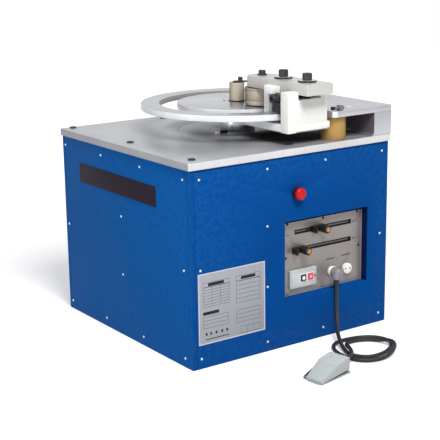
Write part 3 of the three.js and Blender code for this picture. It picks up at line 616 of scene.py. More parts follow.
def place_group(tree, group, at, **values):
    """Places a group on a piece's coordinates, with its own values, and gives its output."""
    inputs = {label.capitalize(): value for label, value in values.items()}
    return node(tree, "ShaderNodeGroup", {"Vector": at, **inputs}, node_tree=group).outputs[0]


@shared_group("Clouds", {"Scale": 6.0, "Detail": 4.0}, "Mask")
def clouds_group(group, enter):
    """Slow change of tone over a surface, as in paint, print and rolled plate."""
    cloud = noise(group, enter["Vector"], scale=enter["Scale"], detail=enter["Detail"])
    return ramp_between(group, cloud, 0.3, 0.7)


@shared_group("Fine grain", {"Scale": 500.0}, "Height")
def grain_group(group, enter):
    """Fine even grain: the peel of sprayed paint or the skin of moulded plastic."""
    return noise(group, enter["Vector"], scale=enter["Scale"], detail=2.0)


@shared_group("Grinding lines", {"Stretch": (8.0, 400.0, 400.0)}, "Lines")
def brushing_group(group, enter):
    """Straight grinding lines, given by how many there are in a metre along each axis."""
    mapping = node(group, "ShaderNodeMapping", {"Vector": enter["Vector"], "Scale": enter["Stretch"]})
    return noise(group, mapping.outputs["Vector"], scale=1.0, detail=5.0, roughness=0.65)


@shared_group("Turning marks", {"Centre": (0.0, 0.0, 0.0), "Pitch": 900.0}, "Rings")
def turning_group(group, enter):
    """Lathe marks: fine rings round a vertical axis through the given centre."""
    ends = {0: enter["Vector"], 1: enter["Centre"]}
    shift = node(group, "ShaderNodeVectorMath", ends, operation="SUBTRACT")
    split = node(group, "ShaderNodeSeparateXYZ", {"Vector": shift.outputs["Vector"]}).outputs
    flat = node(group, "ShaderNodeCombineXYZ", {"X": split["X"], "Y": split["Y"]})
    radius = distance(group, flat.outputs["Vector"])
    along = node(group, "ShaderNodeCombineXYZ", {"X": radius, "Y": split["Z"]})
    return noise(group, along.outputs["Vector"], scale=enter["Pitch"], detail=3.0)


@shared_group("Scuffs", {"Scale": 14.0, "Amount": 0.5}, "Mask")
def scuffs_group(group, enter):
    """Sparse short scratches and rubbed spots, as a mask."""
    mapping = node(group, "ShaderNodeMapping", {
        "Vector": enter["Vector"], "Scale": (1.0, 9.0, 3.0), "Rotation": (0.4, 0.2, 0.7),
    })
    streaks = noise(group, mapping.outputs["Vector"], scale=enter["Scale"], detail=8.0, roughness=0.7)
    worn = ramp_between(group, streaks, 0.7, 0.82)
    return math_node(group, "MULTIPLY", worn, enter["Amount"])


@shared_group("Edge wear", {"Amount": 0.6}, "Mask")
def edge_wear_group(group, enter):
    """Rubbed edges: a broken mask that is bright where the surface bulges outwards."""
    bulge = node(group, "ShaderNodeNewGeometry").outputs["Pointiness"]
    patches = ramp_between(group, noise(group, enter["Vector"], scale=60.0, detail=4.0), 0.35, 0.6)
    broken = math_node(group, "MULTIPLY", ramp_between(group, bulge, 0.51, 0.56), patches)
    return math_node(group, "MULTIPLY", broken, enter["Amount"])


@shared_group("Oil stain", {
    "Centre": (0.0, 0.0, 0.0), "Radii": (1.0, 1.0, 1.0), "Turn": (0.0, 0.0, 0.0), "Amount": 0.6,
}, "Mask")
def under_arm_shade_group(group, enter):
    """Painted shade: a soft dark patch, full inside an ellipse in plan, fading to nothing, with a broken
    rim.
    """
    mapping = node(group, "ShaderNodeMapping", {
        "Vector": enter["Vector"], "Location": enter["Centre"],
        "Rotation": enter["Turn"], "Scale": enter["Radii"],
    }, vector_type="TEXTURE")
    ripple = math_node(group, "MULTIPLY", noise(group, enter["Vector"], scale=9.0), 0.3)
    rim = math_node(group, "ADD", distance(group, mapping.outputs["Vector"]), ripple)
    soft = ramp_between(group, rim, 1.35, 0.55)
    return math_node(group, "MULTIPLY", soft, enter["Amount"])


# Finishes

# How much each kind of surface mirrors the white room
PAINT_GLOSS = 0.02
PLASTIC_GLOSS = 0.25
METAL_GLOSS = 0.12
# Painted shade on the table under the arm, in metres and radians
UNDER_ARM_SHADE_CENTRE = (0.11, -0.235, 0.655)
UNDER_ARM_SHADE_RADII = (0.21, 0.15, 1.0)
UNDER_ARM_SHADE_TURN = (0.0, 0.0, -0.5)
UNDER_ARM_SHADE_AMOUNT = 0.9
# Grinding lines in a metre along x, y and z: few along the stroke, many across it
TABLE_STROKE = (6.0, 320.0, 320.0)
SIDE_STROKE = (300.0, 300.0, 8.0)
RING_STROKE = (260.0, 5.0, 260.0)
ARM_STROKE = (320.0, 7.0, 320.0)
BRUSHED = (7.0, 420.0, 420.0)
NO_STROKE = (200.0, 200.0, 200.0)
# Tones under rubbed paint
RUBBED_BLUE = srgb(60, 105, 160)
RUBBED_GREY = srgb(150, 155, 155)


def shared_material(build):
    """Turns a function that builds a named material into one that builds it once in a file."""
    def get(name, *values):
        return bpy.data.materials.get(name) or build(name, *values)
    return get


def with_clouds(tree, marks, clouds):
    """Tool marks with some slow change of tone mixed in."""
    main = math_node(tree, "MULTIPLY", marks, 0.6)
    return math_node(tree, "ADD", main, math_node(tree, "MULTIPLY", clouds, 0.4))


@shared_material
def paint(name, channel, roughness, wear=0.0, under=(0.0, 0.0, 0.0)):
    """Sprayed paint with a light peel, slow change of tone and, if worn, the tone under it on its edges."""
    base = tuple(getattr(bpy.context.scene.bender_paints, channel))
    material, tree, shader, at = start_material(name)
    clouds = place_group(tree, clouds_group(), at, scale=3.5)
    grain = place_group(tree, grain_group(), at, scale=420.0)
    edges = place_group(tree, edge_wear_group(), at, amount=wear)
    scuffs = place_group(tree, scuffs_group(), at, scale=5.0, amount=wear * 0.3)
    body = tone(tree, clouds, shaded(base, 0.98), shaded(base, 1.02))
    feed(tree, shader, {
        "Base Color": layered(tree, edges, layered(tree, scuffs, body, under), under),
        "Roughness": between(tree, clouds, roughness - 0.05, roughness + 0.06),
        "Normal": bump(tree, grain, 0.00004, 0.25),
        "Specular IOR Level": PAINT_GLOSS,
    })
    return material


@shared_material
def ground_steel(name, channel, roughness, stretch, metallic, shade_patch=False):
    """Ground plate: straight fine lines, cloudy tone, a few scuffs and, if asked, a patch of painted shade
    under the arm.
    """
    base = tuple(getattr(bpy.context.scene.bender_metals, channel))
    material, tree, shader, at = start_material(name)
    lines = place_group(tree, brushing_group(), at, stretch=stretch)
    scuffs = place_group(tree, scuffs_group(), at, scale=12.0, amount=0.35)
    mixed = with_clouds(tree, lines, place_group(tree, clouds_group(), at, scale=7.0))
    body = tone(tree, mixed, shaded(base, 0.82), shaded(base, 1.12))
    surface = layered(tree, scuffs, body, shaded(base, 0.68))
    rough = between(tree, mixed, roughness - 0.08, roughness + 0.1)
    gloss = METAL_GLOSS
    # Painted shade under the arm: the steel turns nearly black there and loses its metal look
    if shade_patch:
        patch = place_group(tree, under_arm_shade_group(), at, centre=UNDER_ARM_SHADE_CENTRE, radii=UNDER_ARM_SHADE_RADII,
                            turn=UNDER_ARM_SHADE_TURN, amount=UNDER_ARM_SHADE_AMOUNT)
        surface = layered(tree, patch, surface, shaded(base, 0.03))
        rough = math_node(tree, "ADD", rough, math_node(tree, "MULTIPLY", patch, 0.4))
        metallic = between(tree, patch, metallic, 0.0)
        gloss = PAINT_GLOSS
    feed(tree, shader, {
        "Base Color": surface,
        "Roughness": rough,
        "Metallic": metallic,
        "Normal": bump(tree, lines, 0.00008, 0.35),
        "Specular IOR Level": gloss,
    })
    return material


@shared_material
def turned_steel(name, channel, roughness, centre, metallic, painted_flank_shade=False):
    """Turned steel: fine rings round the piece's axis, cloudy tone and, if asked, painted shade on the
    flanks.
    """
    base = tuple(getattr(bpy.context.scene.bender_metals, channel))
    material, tree, shader, at = start_material(name)
    rings = place_group(tree, turning_group(), at, centre=centre)
    scuffs = place_group(tree, scuffs_group(), at, scale=16.0, amount=0.4)
    mixed = with_clouds(tree, rings, place_group(tree, clouds_group(), at, scale=11.0))
    body = tone(tree, mixed, shaded(base, 0.8), shaded(base, 1.12))
    surface = layered(tree, scuffs, body, shaded(base, 0.62))
    # Painted shade: the colour darkens where the surface turns away from the view, as on a lit cylinder
    if painted_flank_shade:
        flank_shade = ramp_between(tree, node(tree, "ShaderNodeLayerWeight").outputs["Facing"], 0.25, 0.95)
        surface = layered(tree, flank_shade, surface, shaded(base, 0.15))
    feed(tree, shader, {
        "Base Color": surface,
        "Roughness": between(tree, mixed, roughness - 0.08, roughness + 0.1),
        "Metallic": metallic,
        "Normal": bump(tree, rings, 0.00006, 0.4),
        "Specular IOR Level": METAL_GLOSS,
    })
    return material


@shared_material
def blackened_steel(name):
    """Black-oxide steel: dark, slightly oily, with bright rubbed edges."""
    base = tuple(bpy.context.scene.bender_metals.blackened)
    material, tree, shader, at = start_material(name)
    clouds = place_group(tree, clouds_group(), at, scale=38.0)
    edges = place_group(tree, edge_wear_group(), at, amount=0.35)
    grain = place_group(tree, grain_group(), at, scale=900.0)
    body = tone(tree, clouds, shaded(base, 0.9), shaded(base, 1.15))
    feed(tree, shader, {
        "Base Color": layered(tree, edges, body, shaded(base, 4.0)),
        "Roughness": between(tree, clouds, 0.34, 0.52),
        "Metallic": 0.6,
        "Normal": bump(tree, grain, 0.00006, 0.4),
    })
    return material


@shared_material
def moulded(name, channel, roughness):
    """Moulded plastic with a fine skin and a slight change of gloss."""
    base = tuple(getattr(bpy.context.scene.bender_plastics, channel))
    material, tree, shader, at = start_material(name)
    clouds = place_group(tree, clouds_group(), at, scale=30.0)
    grain = place_group(tree, grain_group(), at, scale=1200.0)
    feed(tree, shader, {
        "Base Color": tone(tree, clouds, shaded(base, 0.92), shaded(base, 1.06)),
        "Roughness": between(tree, clouds, roughness - 0.05, roughness + 0.07),
        "Normal": bump(tree, grain, 0.00004, 0.35),
        "Specular IOR Level": PLASTIC_GLOSS,
    })
    return material


@shared_material
def sheath(name):
    """Black cable sheath with close rings, counted by the attribute that its tube carries; each ring's
    crest carries a painted highlight and its hollow painted shade.
    """
    base = tuple(bpy.context.scene.bender_plastics.rubber)
    material, tree, shader, at = start_material(name)
    clouds = place_group(tree, clouds_group(), at, scale=25.0)
    along = node(tree, "ShaderNodeAttribute", attribute_name="along").outputs["Fac"]
    wave = math_node(tree, "SINE", math_node(tree, "MULTIPLY", along, math.tau))
    # Painted highlight on each ring's crest and painted shade in its hollow
    crest_highlight = ramp_between(tree, wave, -0.8, 0.9)
    feed(tree, shader, {
        "Base Color": tone(tree, crest_highlight, shaded(base, 0.4), shaded(base, 1.7)),
        "Roughness": between(tree, clouds, 0.38, 0.52),
        "Normal": bump(tree, wave, 0.0004, 0.5),
        "Specular IOR Level": PLASTIC_GLOSS,
    })
    return material


def cabinet_paint():
    return paint("Cabinet paint", "cabinet", 0.5, 0.1, RUBBED_BLUE)


def cabinet_side_painted_light_paint():
    return paint("Cabinet side paint", "cabinet_side", 0.5, 0.1, RUBBED_BLUE)


def recess_paint():
    return paint("Recess side", "recess", 0.6)


def bracket_paint():
    return paint("Bracket paint", "bracket", 0.5)


def pedal_top_paint():
    return paint("Pedal paint", "pedal", 0.5, 0.05, RUBBED_GREY)


def pedal_side_shade_paint():
    return paint("Pedal side paint", "pedal_side", 0.5, 0.05, RUBBED_GREY)


def stud_highlight_paint():
    return paint("Stud paint", "stud", 0.4)


def table_steel():
    # The table carries the painted shade under the arm
    return ground_steel("Table steel", "table", 0.42, TABLE_STROKE, 0.75, True)


def table_edge_steel():
    return ground_steel("Table edge", "table_edge", 0.45, SIDE_STROKE, 0.2)


def table_side_shade_steel():
    return ground_steel("Table side", "table_side", 0.45, SIDE_STROKE, 0.2)


def ring_steel():
    return ground_steel("Ring steel", "ring", 0.4, RING_STROKE, 0.2)


def ring_top_steel():
    return ground_steel("Ring top steel", "ring_top", 0.3, RING_STROKE, 0.8)


# Painted shade for undersides
def ring_under_steel():
    return ground_steel("Ring underside", "ring_under", 0.6, RING_STROKE, 0.0)


def ring_inner_steel():
    return ground_steel("Ring inner wall", "ring_inner", 0.4, RING_STROKE, 0.3)


def riser_inner_steel():
    return ground_steel("Riser inner face", "inner", 0.55, RING_STROKE, 0.3)


def shadow_steel():
    # Painted shade for undersides
    return ground_steel("Shadow-side steel", "underside", 0.7, RING_STROKE, 0.0)


def arm_steel():
    return ground_steel("Arm steel", "arm", 0.42, ARM_STROKE, 0.45)


def post_steel():
    return ground_steel("Post steel", "post", 0.4, ARM_STROKE, 0.15)


def screw_steel():
    return ground_steel("Screw steel", "screw", 0.3, NO_STROKE, 0.8)


def plate_screw_steel():
    return ground_steel("Plate screw steel", "plate_screw", 0.35, NO_STROKE, 0.6)


def rib_highlight_steel():
    return ground_steel("Rubbed rib", "rib", 0.35, NO_STROKE, 0.5)


def control_metal():
    return ground_steel("Control plate metal", "control", 0.42, BRUSHED, 0.5)


def rail_metal():
    return ground_steel("Rail metal", "rail", 0.4, BRUSHED, 0.5)


def black_steel():
    return blackened_steel("Black steel")


def black_plastic():
    return moulded("Black plastic", "black", 0.42)


def white_plastic():
    return moulded("White", "white", 0.35)


def red_plastic():
    return moulded("Red", "red", 0.3)


def switch_plastic():
    return moulded("Switch grey", "switch", 0.42)


# Stage: camera, floor, world and lamps

# Metres and degrees, and millimetres for the lens and its sensor
CAMERA_PLACE = (-2.27178, -3.22992, 1.34129)
CAMERA_YAW = 34.987
CAMERA_PITCH = 14.216
CAMERA_ROLL = -0.829
CAMERA_LENS = 95.68
SENSOR_WIDTH = 36.0
FARTHEST_SEEN = 50.0
FLOOR_SIZE = 14.0
FLOOR_DROP = 0.0005
# The floor's own light grows with the distance from its middle
GLOW_NEAR, GLOW_FAR = 0.33, 0.8
GLOW_START, GLOW_END = 1.0, 3.0
WHITE = (1.0, 1.0, 1.0, 1.0)
FILL_TINT = (0.97, 0.98, 1.0, 1.0)
FILL_STRENGTH = 0.34
LAMP_AIM = (0.0, 0.0, 0.5)


def white_to_camera(tree, surface, white):
    """Shows a surface as plain white to the camera, gloss and glass, and lights the rest as it is."""
    rays = node(tree, "ShaderNodeLightPath").outputs
    either = math_node(tree, "MAXIMUM", rays["Is Camera Ray"], rays["Is Glossy Ray"])
    seen = math_node(tree, "MAXIMUM", either, rays["Is Transmission Ray"])
    return node(tree, "ShaderNodeMixShader", {"Fac": seen, 1: surface, 2: white}).outputs["Shader"]


def build_world():
    world = bpy.data.worlds.new("Studio")
    world.use_nodes = True
    bpy.context.scene.world = world
    tree = world.node_tree
    fill = tree.nodes["Background"]
    feed(tree, fill, {"Color": FILL_TINT, "Strength": FILL_STRENGTH})
    backdrop = node(tree, "ShaderNodeBackground", {"Color": WHITE, "Strength": 1.0})
    shown = white_to_camera(tree, fill.outputs["Background"], backdrop.outputs["Background"])
    feed(tree, tree.nodes["World Output"], {"Surface": shown})


def build_floor():
    bpy.ops.mesh.primitive_plane_add(size=FLOOR_SIZE, location=(0.0, 0.0, -FLOOR_DROP))
    floor = bpy.context.active_object
    floor.name = "studio_floor"
    apply_place(floor)
    material, tree, shader, at = start_material("Studio floor")
    clouds = place_group(tree, clouds_group(), at, scale=0.6)
    pale = tuple(bpy.context.scene.bender_paints.floor)
    feed(tree, shader, {"Base Color": tone(tree, clouds, shaded(pale, 0.99), pale), "Roughness": 0.8})
    away = ramp_between(tree, distance(tree, at), GLOW_START, GLOW_END)
    glow = node(tree, "ShaderNodeEmission", {
        "Color": WHITE, "Strength": between(tree, away, GLOW_NEAR, GLOW_FAR),
    })
    both = node(tree, "ShaderNodeAddShader", {0: shader.outputs["BSDF"], 1: glow.outputs["Emission"]})
    shown = white_to_camera(tree, shader.outputs["BSDF"], both.outputs["Shader"])
    feed(tree, tree.nodes["Material Output"], {"Surface": shown})
    dress(floor, material)


def area_lamp(name, place, size, power, tint):
    """A round lamp that looks at the middle of the machine."""
    lamp = bpy.data.lights.new(name, "AREA")
    lamp.shape = "DISK"
    lamp.size = size
    lamp.energy = power
    lamp.color = tint
    holder = new_object(name, lamp)
    holder.location = place
    holder.rotation_euler = (Vector(LAMP_AIM) - Vector(place)).to_track_quat("-Z", "Y").to_euler()


def build_camera():
    data = bpy.data.cameras.new("Camera")
    data.lens = CAMERA_LENS
    data.sensor_width = SENSOR_WIDTH
    data.clip_end = FARTHEST_SEEN
    camera = new_object("Camera", data)
    turn = Matrix.Rotation(math.radians(-CAMERA_YAW), 4, "Z")
    tilt = Matrix.Rotation(math.radians(90.0 - CAMERA_PITCH), 4, "X")
    roll = Matrix.Rotation(math.radians(CAMERA_ROLL), 4, "Z")
    camera.matrix_world = Matrix.Translation(CAMERA_PLACE) @ turn @ tilt @ roll
    bpy.context.scene.camera = camera


class BENDER_OT_stage(bpy.types.Operator):
    """Camera, white floor, world and soft lamps"""
    bl_idname = "bender.stage"
    bl_label = "Stage"

    def execute(self, context):
        context.scene.view_settings.view_transform = "Standard"
        build_camera()
        build_world()
        build_floor()
        area_lamp("Key", (-0.9, -2.9, 3.9), size=1.8, power=200.0, tint=(1.0, 1.0, 0.99))
        area_lamp("Left fill", (-3.8, -0.6, 1.6), size=2.4, power=34.0, tint=(0.98, 0.99, 1.0))
        return {"FINISHED"}


# Cable

# From here on, places and sizes are in millimetres
CABLE_ROUTE = [
    (170, -410, 171.4), (170, -410, 150), (169.5, -411, 122), (166, -417, 95), (158, -428, 70),
    (145, -445, 49), (129, -466, 34), (113, -491, 25), (97, -519, 18), (83, -549, 11),
    (73, -580, 7), (75, -611, 7), (89, -635, 7), (113, -650, 7), (145, -652, 7),
    (178, -645, 7), (210, -629, 7), (238, -607, 7), (254, -578, 7), (252, -547, 7),
    (236, -519, 7), (207, -499, 7), (173, -488, 7), (138, -484, 7), (105, -489, 7),
    (76, -507, 7), (57, -536, 7), (46, -571, 7), (44, -608, 7), (55, -642, 7),
    (77, -667, 7), (109, -680, 7), (145, -680, 8), (181, -670, 14.5), (211, -650, 21),
    (230, -621, 22), (235, -588, 17), (228, -556, 9), (211, -530, 7), (184, -515, 7),
    (157, -509, 7), (133, -513, 8), (113, -529, 11), (97, -553, 16), (82, -578, 21.5),
    (66, -602, 26), (51, -623, 29.5), (37, -639, 31), (22, -650.5, 31), (6, -657.35, 31),
    (-0.38, -658.58, 31), (-6.76, -659.81, 31),
]
CABLE_STEPS = 6
CABLE_SIDES = 16


def between_points(start, leave, end, reach, share):
    """A place on the curve that leaves one point and reaches the next with the given speeds."""
    return (
        start * (2 * share**3 - 3 * share**2 + 1) + leave * (share**3 - 2 * share**2 + share)
        + end * (-2 * share**3 + 3 * share**2) + reach * (share**3 - share**2)
    )


def smooth_route(points, steps):
    """A centripetal curve through the points, as close samples."""
    route = [Vector(point) * MM for point in points]
    first = route[0] * 2 - route[1]
    last = route[-1] * 2 - route[-2]
    padded = [first, *route, last]
    samples = []
    for before, start, end, after in zip(padded, padded[1:], padded[2:], padded[3:]):
        gaps = [math.sqrt((b - a).length) for a, b in ((before, start), (start, end), (end, after))]
        leave = ((start - before) / gaps[0] - (end - before) / (gaps[0] + gaps[1])
                 + (end - start) / gaps[1]) * gaps[1]
        reach = ((end - start) / gaps[1] - (after - start) / (gaps[1] + gaps[2])
                 + (after - end) / gaps[2]) * gaps[1]
        samples += [between_points(start, leave, end, reach, step / steps) for step in range(steps)]
    return [*samples, route[-1]]


def rings_round(path, radius, sides):
    """Rings of points round a path, each after how far along the path it lies."""
    turns = [math.tau * k / sides for k in range(sides)]
    across = (path[1] - path[0]).normalized().orthogonal().normalized()
    travelled = 0.0
    rings = []
    for i, point in enumerate(path):
        before = path[max(i - 1, 0)]
        after = path[min(i + 1, len(path) - 1)]
        ahead = (after - before).normalized()
        across = (across - ahead * across.dot(ahead)).normalized()
        other = ahead.cross(across)
        travelled += (point - before).length
        ring = [point + (across * math.cos(turn) + other * math.sin(turn)) * radius for turn in turns]
        rings.append((travelled, ring))
    return rings


def tube_along(path, radius, sides, name):
    """A closed tube round a path; the vertex attribute along counts ribs from its start."""
    mesh = bmesh.new()
    layer = mesh.verts.layers.float.new("along")
    rib = bpy.context.scene.bender_sizes.rib
    rings = []
    for travelled, points in rings_round(path, radius, sides):
        ring = [mesh.verts.new(point) for point in points]
        for vert in ring:
            vert[layer] = travelled / rib
        rings.append(ring)
    for low, high in zip(rings, rings[1:]):
        for k in range(sides):
            after = (k + 1) % sides
            mesh.faces.new((low[k], low[after], high[after], high[k]))
    mesh.faces.new(list(reversed(rings[0])))
    mesh.faces.new(rings[-1])
    data = bpy.data.meshes.new(name)
    mesh.to_mesh(data)
    mesh.free()
    return new_object(name, data)


class BENDER_OT_cable(bpy.types.Operator):
    """The pedal's cable in two loose loops, with its plug and strain relief"""
    bl_idname = "bender.cable"
    bl_label = "Cable"

    def execute(self, context):
        sizes = context.scene.bender_sizes
        path = smooth_route(CABLE_ROUTE, CABLE_STEPS)
        cable = tube_along(path, sizes.cable / 2, CABLE_SIDES, "cable_sheath")
        smooth(cable, ROUND_ANGLE)
        dress(cable, sheath("Cable sheath"))
        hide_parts("pedal_cable")
        settle(cable, "machine")
        relief = finish_node("strain_relief", moulded("Relief rubber", "rubber", 0.5), edge=0.6 * MM)
        plug = finish_node("plug", moulded("Plug grey", "plug", 0.4), edge=1.5 * MM, segments=3)
        return {"FINISHED"}


# Cabinet

HALF_WIDTH = 400.0
PANEL_SCREW_HEIGHT = 2.0
# Each screw's place along its panel and its height, in millimetres
SIDE_SCREWS = [
    (379, 600), (132, 600), (-116, 600), (-362, 600), (378, 315), (-359, 315), (10, 414), (10, 215),
    (376, 30), (132, 30), (-110, 30), (-358, 30),
]
FRONT_SCREWS = [
    (-366, 601), (-109, 601), (126, 601), (371, 601), (-367, 318), (-110, 417), (-110, 218), (368, 317),
    (-368, 33), (-110, 33), (123, 33), (369, 33),
]
REAR_SCREWS = [(-x, z) for x, z in FRONT_SCREWS]


class BENDER_OT_cabinet(bpy.types.Operator):
    """Posts, sheet panels and floor plate of the cabinet"""
    bl_idname = "bender.cabinet"
    bl_label = "Cabinet"

    def execute(self, context):
        for side in ("front_left", "front_right", "rear_left", "rear_right"):
            post = finish_node(f"corner_post_{side}", cabinet_paint(), edge=1.6 * MM, segments=3)
            # Painted light: the posts' side faces take the lighter side blue
            dress_faces(post, cabinet_side_painted_light_paint(), looks_sideways)
        for side in ("front", "rear"):
            finish_node(f"{side}_panel", cabinet_paint(), edge=0.7 * MM)
        # Painted light: the side panels take the lighter side blue
        for side in ("left", "right"):
            finish_node(f"{side}_panel", cabinet_side_painted_light_paint(), edge=0.7 * MM)
        finish_node("base_plate", cabinet_paint())
        return {"FINISHED"}


class BENDER_OT_panel_screws(bpy.types.Operator):
    """Bright button-head screws on all four panels"""
    bl_idname = "bender.panel_screws"
    bl_label = "Panel screws"

    def execute(self, context):
        radius = context.scene.bender_sizes.screw
        faces = {
            "left": [facing((-1, 0, 0), (-HALF_WIDTH, y, z)) for y, z in SIDE_SCREWS],
            "right": [facing((1, 0, 0), (HALF_WIDTH, y, z)) for y, z in SIDE_SCREWS],
            "front": [facing((0, -1, 0), (x, -HALF_WIDTH, z)) for x, z in FRONT_SCREWS],
            "rear": [facing((0, 1, 0), (x, HALF_WIDTH, z)) for x, z in REAR_SCREWS],
        }
        for side, places in faces.items():
            model = button_head("screw_model", radius, PANEL_SCREW_HEIGHT * MM)
            add_on(copies(model, places, f"{side}_screws"), screw_steel(), "machine")
        return {"FINISHED"}


# Table, ring and deck

TABLE_TOP = 655.0
DECK_TOP = 753.0
TABLE_BOLTS = [(-363, -358), (-365, 385), (-357, 9), (18.5, -346), (-3, 367)]
DECK_LEFT = 172.0
DECK_BOLT = (258, -362)
DECK_SCREW = (345, -158)
STOP_TIP_RIGHT = 171.5


class BENDER_OT_table(bpy.types.Operator):
    """Table plate, bearing flange, black table bolts and the drive under them"""
    bl_idname = "bender.table"
    bl_label = "Table"

    def execute(self, context):
        table = finish_node("table_plate", table_steel(), edge=1.2 * MM, segments=3)
        dress_faces(table, table_edge_steel(), is_side)
        # Painted shade on the left and right sides
        dress_faces(table, table_side_shade_steel(), lambda centre, normal: abs(normal.x) > 0.9)
        finish_node("bearing_housing", table_steel(), edge=0.8 * MM)
        finish_node("gear_case", blackened_steel("Gear case iron"), edge=3 * MM, segments=3)
        finish_node("motor", blackened_steel("Motor iron"), edge=2 * MM)
        model = socket_head("bolt_model", radius=12 * MM, height=4 * MM, socket=6 * MM)
        places = [upright(x, y, TABLE_TOP) for x, y in TABLE_BOLTS]
        add_on(copies(model, places, "table_bolts"), black_steel(), "machine")
        return {"FINISHED"}


def on_deck(centre):
    return centre.x > DECK_LEFT * MM


def split_deck(piece):
    """Cuts the ring plate's faces where its deck begins."""
    cut_level(piece, DECK_LEFT * MM, axis=0)


def deck_underside(centre, normal):
    return on_deck(centre) and faces_down(centre, normal)


def ground_faces(centre, normal):
    """True for the ring plate's top, its deck's sides and its ring's underside."""
    other = is_side(centre, normal) if on_deck(centre) else faces_down(centre, normal)
    return other or faces_up(centre, normal)


class BENDER_OT_ring(bpy.types.Operator):
    """Fixed ring with its deck, riser, brass column and two screws"""
    bl_idname = "bender.ring"
    bl_label = "Ring and deck"

    def execute(self, context):
        ring = finish_node("ring_plate", ring_steel(), edge=0.9 * MM, segments=3, shape=split_deck)
        # Painted shade on the deck's underside
        dress_faces(ring, ring_under_steel(), deck_underside)
        dress_faces(ring, ring_top_steel(), ground_faces)
        axis = Vector(axis_centre("main_shaft"))

        def faces_shaft(centre, normal):
            return is_side(centre, normal) and (centre - axis).to_2d().dot(normal.to_2d()) < 0
        dress_faces(ring, ring_inner_steel(), faces_shaft)
        riser = finish_node("riser_block", ring_top_steel(), edge=0.9 * MM, segments=3)
        # Painted shade on the riser's inner face
        dress_faces(riser, riser_inner_steel(), lambda centre, normal: normal.x < -0.9)
        brass = turned_steel("Brass", "brass", 0.5, axis_centre("support_column"), 0.45)
        finish_node("support_column", brass, edge=0.8 * MM)
        flush = socket_head("deck_bolt", radius=13 * MM, height=1.2 * MM, socket=7 * MM)
        bolt = copies(flush, [upright(*DECK_BOLT, DECK_TOP)], "deck_bolt")
        add_on(bolt, screw_steel(), "machine")
        low_head = button_head("deck_screw", radius=10 * MM, height=3 * MM)
        screw = copies(low_head, [upright(*DECK_SCREW, DECK_TOP)], "deck_screw")
        add_on(screw, table_steel(), "machine")
        return {"FINISHED"}


class BENDER_OT_stop(bpy.types.Operator):
    """Stop lug on the deck with its rubber-tipped bolt"""
    bl_idname = "bender.stop"
    bl_label = "Stop"

    def execute(self, context):
        steel = turned_steel("Stop steel", "stop", 0.4, axis_centre("stop_lug"), 0.6)
        finish_node("stop_lug", steel, edge=0.8 * MM)
        bolt = finish_node("stop_bolt", steel, edge=0.5 * MM)
        dress_faces(bolt, black_plastic(), lambda centre, normal: centre.x < STOP_TIP_RIGHT * MM)
        return {"FINISHED"}


# Swinging arm

BAR_TOP = 852.0
BAR_MIDDLE = 78.0
BAR_NOSE = (26.0, -429.5)
NOSE_REACH = 3.5
NOSE_RADIUS = 3.0
UPRIGHT_SLACK = 0.2
ARM_BOLTS = {"inner": -243.5, "outer": -365.0}
ARM_BOLT_HEAD = 15.0
ARM_WASHER_THICK = 6.0
WASHER_SLACK = 1.5
KNURL_RADIUS = ARM_BOLT_HEAD + 0.6
KNURL_BORE = ARM_BOLT_HEAD + 0.02
KNURL_LENGTH = 18.0
KNURL_LIFT = 2.5
KNURL_RIBS = 20
RIB_SHARE = 0.985
DISC_MARK = (35.0, 30.0)
# The bending roller's groove: how far its foot and its top lie under the roller's top, and its depth
GROOVE_FOOT, GROOVE_TOP, GROOVE_DEPTH = 9.0, 7.6, 0.8
SENSOR_TIP = (-58.0, -47.0, 662.3)
WHITE_NOSE = 17.0


def shape_bar(piece):
    """Rounds the bar's near front corner."""
    corner = Vector(BAR_NOSE) * MM

    def is_corner(a, b):
        stands = (a.to_2d() - b.to_2d()).length < UPRIGHT_SLACK * MM
        off = a.to_2d() - corner
        return stands and max(abs(off.x), abs(off.y)) < NOSE_REACH * MM
    round_edges(piece, is_corner, NOSE_RADIUS * MM, segments=3)


class BENDER_OT_rotor(bpy.types.Operator):
    """Shaft, disc and the arm that straddles the ring"""
    bl_idname = "bender.rotor"
    bl_label = "Swinging arm"

    def execute(self, context):
        centre = axis_centre("main_shaft")
        polished = turned_steel("Polished shaft", "hub", 0.25, centre, 0.9)
        finish_node("main_shaft", polished, edge=0.8 * MM)
        disc_steel = turned_steel("Disc steel", "ring", 0.36, centre, 0.3)
        disc = finish_node("turn_disc", disc_steel, edge=0.9 * MM, segments=3)
        # Painted shade on the disc's underside
        dress_faces(disc, ring_under_steel(), faces_down)
        dress_faces(disc, turned_steel("Disc top steel", "ring_top", 0.24, centre, 0.85), faces_up)
        lower = finish_node("lower_arm", post_steel(), edge=1.6 * MM, segments=3)
        # Painted shade on the lower arm's underside
        dress_faces(lower, shadow_steel(), faces_down)
        dress_faces(lower, bracket_paint(), lambda centre, normal: normal.y < -0.4)
        finish_node("inner_post", post_steel(), edge=1.0 * MM, segments=3)
        finish_node("upper_arm", arm_steel(), edge=1.0 * MM, segments=3, shape=shape_bar)
        finish_node("outer_bracket", bracket_paint(), edge=1.6 * MM, segments=3)
        mark = socket_head("disc_mark", radius=5 * MM, height=0.6 * MM, socket=3 * MM)
        mark = copies(mark, [upright(*DISC_MARK, DECK_TOP)], "disc_mark")
        add_on(mark, black_steel(), "arm")
        return {"FINISHED"}


def is_washer_top(centre, normal):
    top = (BAR_TOP + ARM_WASHER_THICK) * MM
    return faces_up(centre, normal) and abs(centre.z - top) < WASHER_SLACK * MM


def is_rib(centre, normal):
    """True for the outer faces of the arm bolts' ribs."""
    axes = [Vector((BAR_MIDDLE, y)) * MM for y in ARM_BOLTS.values()]
    away = min((centre.to_2d() - axis).length for axis in axes)
    return is_side(centre, normal) and away > RIB_SHARE * KNURL_RADIUS * MM


